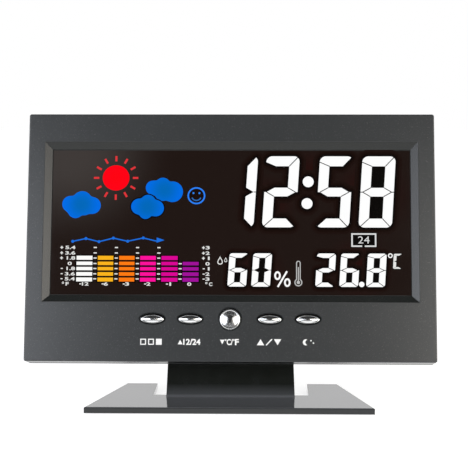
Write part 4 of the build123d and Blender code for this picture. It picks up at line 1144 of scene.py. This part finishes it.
def pale_floor():
    """White floor that keeps the object's shadow: plain diffuse paint and a glow that only eyes see.

    Reflections see it dimmed on the eye's side of the clock, as the world is.
    """
    finish = Finish("pale_floor", "ececec", 0.9, {"IOR": 1.2, "Emission Color": WHITE_LIGHT})
    path = finish.add("LightPath").outputs
    depth = finish.along((0.0, 1.0, 0.0))
    mirrored = finish.maths("MAXIMUM", path["Is Glossy Ray"], path["Is Transmission Ray"])
    shade = finish.spread(depth, SHADED_FLOOR, 1.0, SHADE_START, SHADE_END)
    seen = finish.maths("MAXIMUM", path["Is Camera Ray"], finish.maths("MULTIPLY", mirrored, shade))
    finish.feed(finish.maths("MULTIPLY", seen, FLOOR_GLOW), "Emission Strength")
    dimmed = finish.maths("MULTIPLY", mirrored, finish.spread(depth, 1.0, 0.0, SHADE_START, SHADE_END))
    paint = finish.tones(finish.grain(40.0), [(0.3, "eaeaea"), (0.7, "efefef")])
    finish.feed(finish.mixed(dimmed, paint, linear("6e6e6e")), "Base Color")
    return finish.material


AMBIENT = 0.28
FRONT_SHADE = 0.03             # how bright reflections see the world on the eye's side


def studio_world():
    """White behind the object, dim on the eye's side for reflections, and soft light all round."""
    world = bpy.data.worlds.new("studio")
    world.use_nodes = True
    bpy.context.scene.world = world
    tree = world.node_tree
    tree.nodes.clear()
    path = shader_node(tree, "LightPath").outputs
    way = shader_node(tree, "TexCoord").outputs["Generated"]
    depth = shader_node(tree, "SeparateXYZ", None, {0: way}).outputs["Y"]
    reach = shader_node(tree, "MapRange", {"interpolation_type": "SMOOTHSTEP"},
                        {"Value": depth, "From Min": 0.25, "From Max": 0.8, "To Min": FRONT_SHADE})
    white, ambient, reflected = (
        shader_node(tree, "Background", None, {"Color": WHITE_LIGHT, "Strength": strength}).outputs[0]
        for strength in (1.0, AMBIENT, reach.outputs["Result"]))
    mirrored = maths(tree, "MAXIMUM", path["Is Glossy Ray"], path["Is Transmission Ray"])
    unseen = shader_node(tree, "MixShader", None, {"Fac": mirrored, 1: ambient, 2: reflected}).outputs[0]
    seen = {"Fac": path["Is Camera Ray"], 1: unseen, 2: white}
    shown = shader_node(tree, "MixShader", None, seen).outputs[0]
    shader_node(tree, "OutputWorld", None, {"Surface": shown})


def face_towards(made, place, aim):
    """Puts a lamp or the camera at a place and turns it to a point, in metres."""
    made.location = place
    made.rotation_euler = (Vector(aim) - Vector(place)).to_track_quat("-Z", "Y").to_euler()


def softbox(name, place, power, tint):
    """A rectangular lamp of some power in watts that faces the clock."""
    data = bpy.data.lights.new(name, "AREA")
    data.shape = "RECTANGLE"
    data.size, data.size_y = LAMP_SIZE
    data.energy = power
    data.color = linear(tint)[:3]
    face_towards(in_scene(name, data), place, LAMP_AIM)


LAMP_SIZE = (0.66, 0.50)
LAMP_AIM = (0.0, 0.0, 0.10)
stage_floor()
studio_world()
softbox("left_panel", (-0.468, -0.520, 0.175), 4.65, "f2f6ff")
softbox("right_panel", (0.450, -0.536, 0.16), 4.45, "fffaf2")

CAMERA_AT = (0.01639, -0.63353, 0.13227)
CAMERA_AIM = (0.00151, -0.00665, 0.07145)
FOCAL_PIXELS = 1523.9
PHOTO_SIDE = 468.0             # the photograph's width and height in pixels
SENSOR = 36.0
camera_data = bpy.data.cameras.new("camera")
camera_data.sensor_width = SENSOR
camera_data.lens = FOCAL_PIXELS / PHOTO_SIDE * SENSOR
camera_data.clip_start = 0.05
camera = in_scene("camera", camera_data)
face_towards(camera, CAMERA_AT, CAMERA_AIM)
bpy.context.scene.camera = camera

bpy.context.scene.view_settings.view_transform = "Standard"
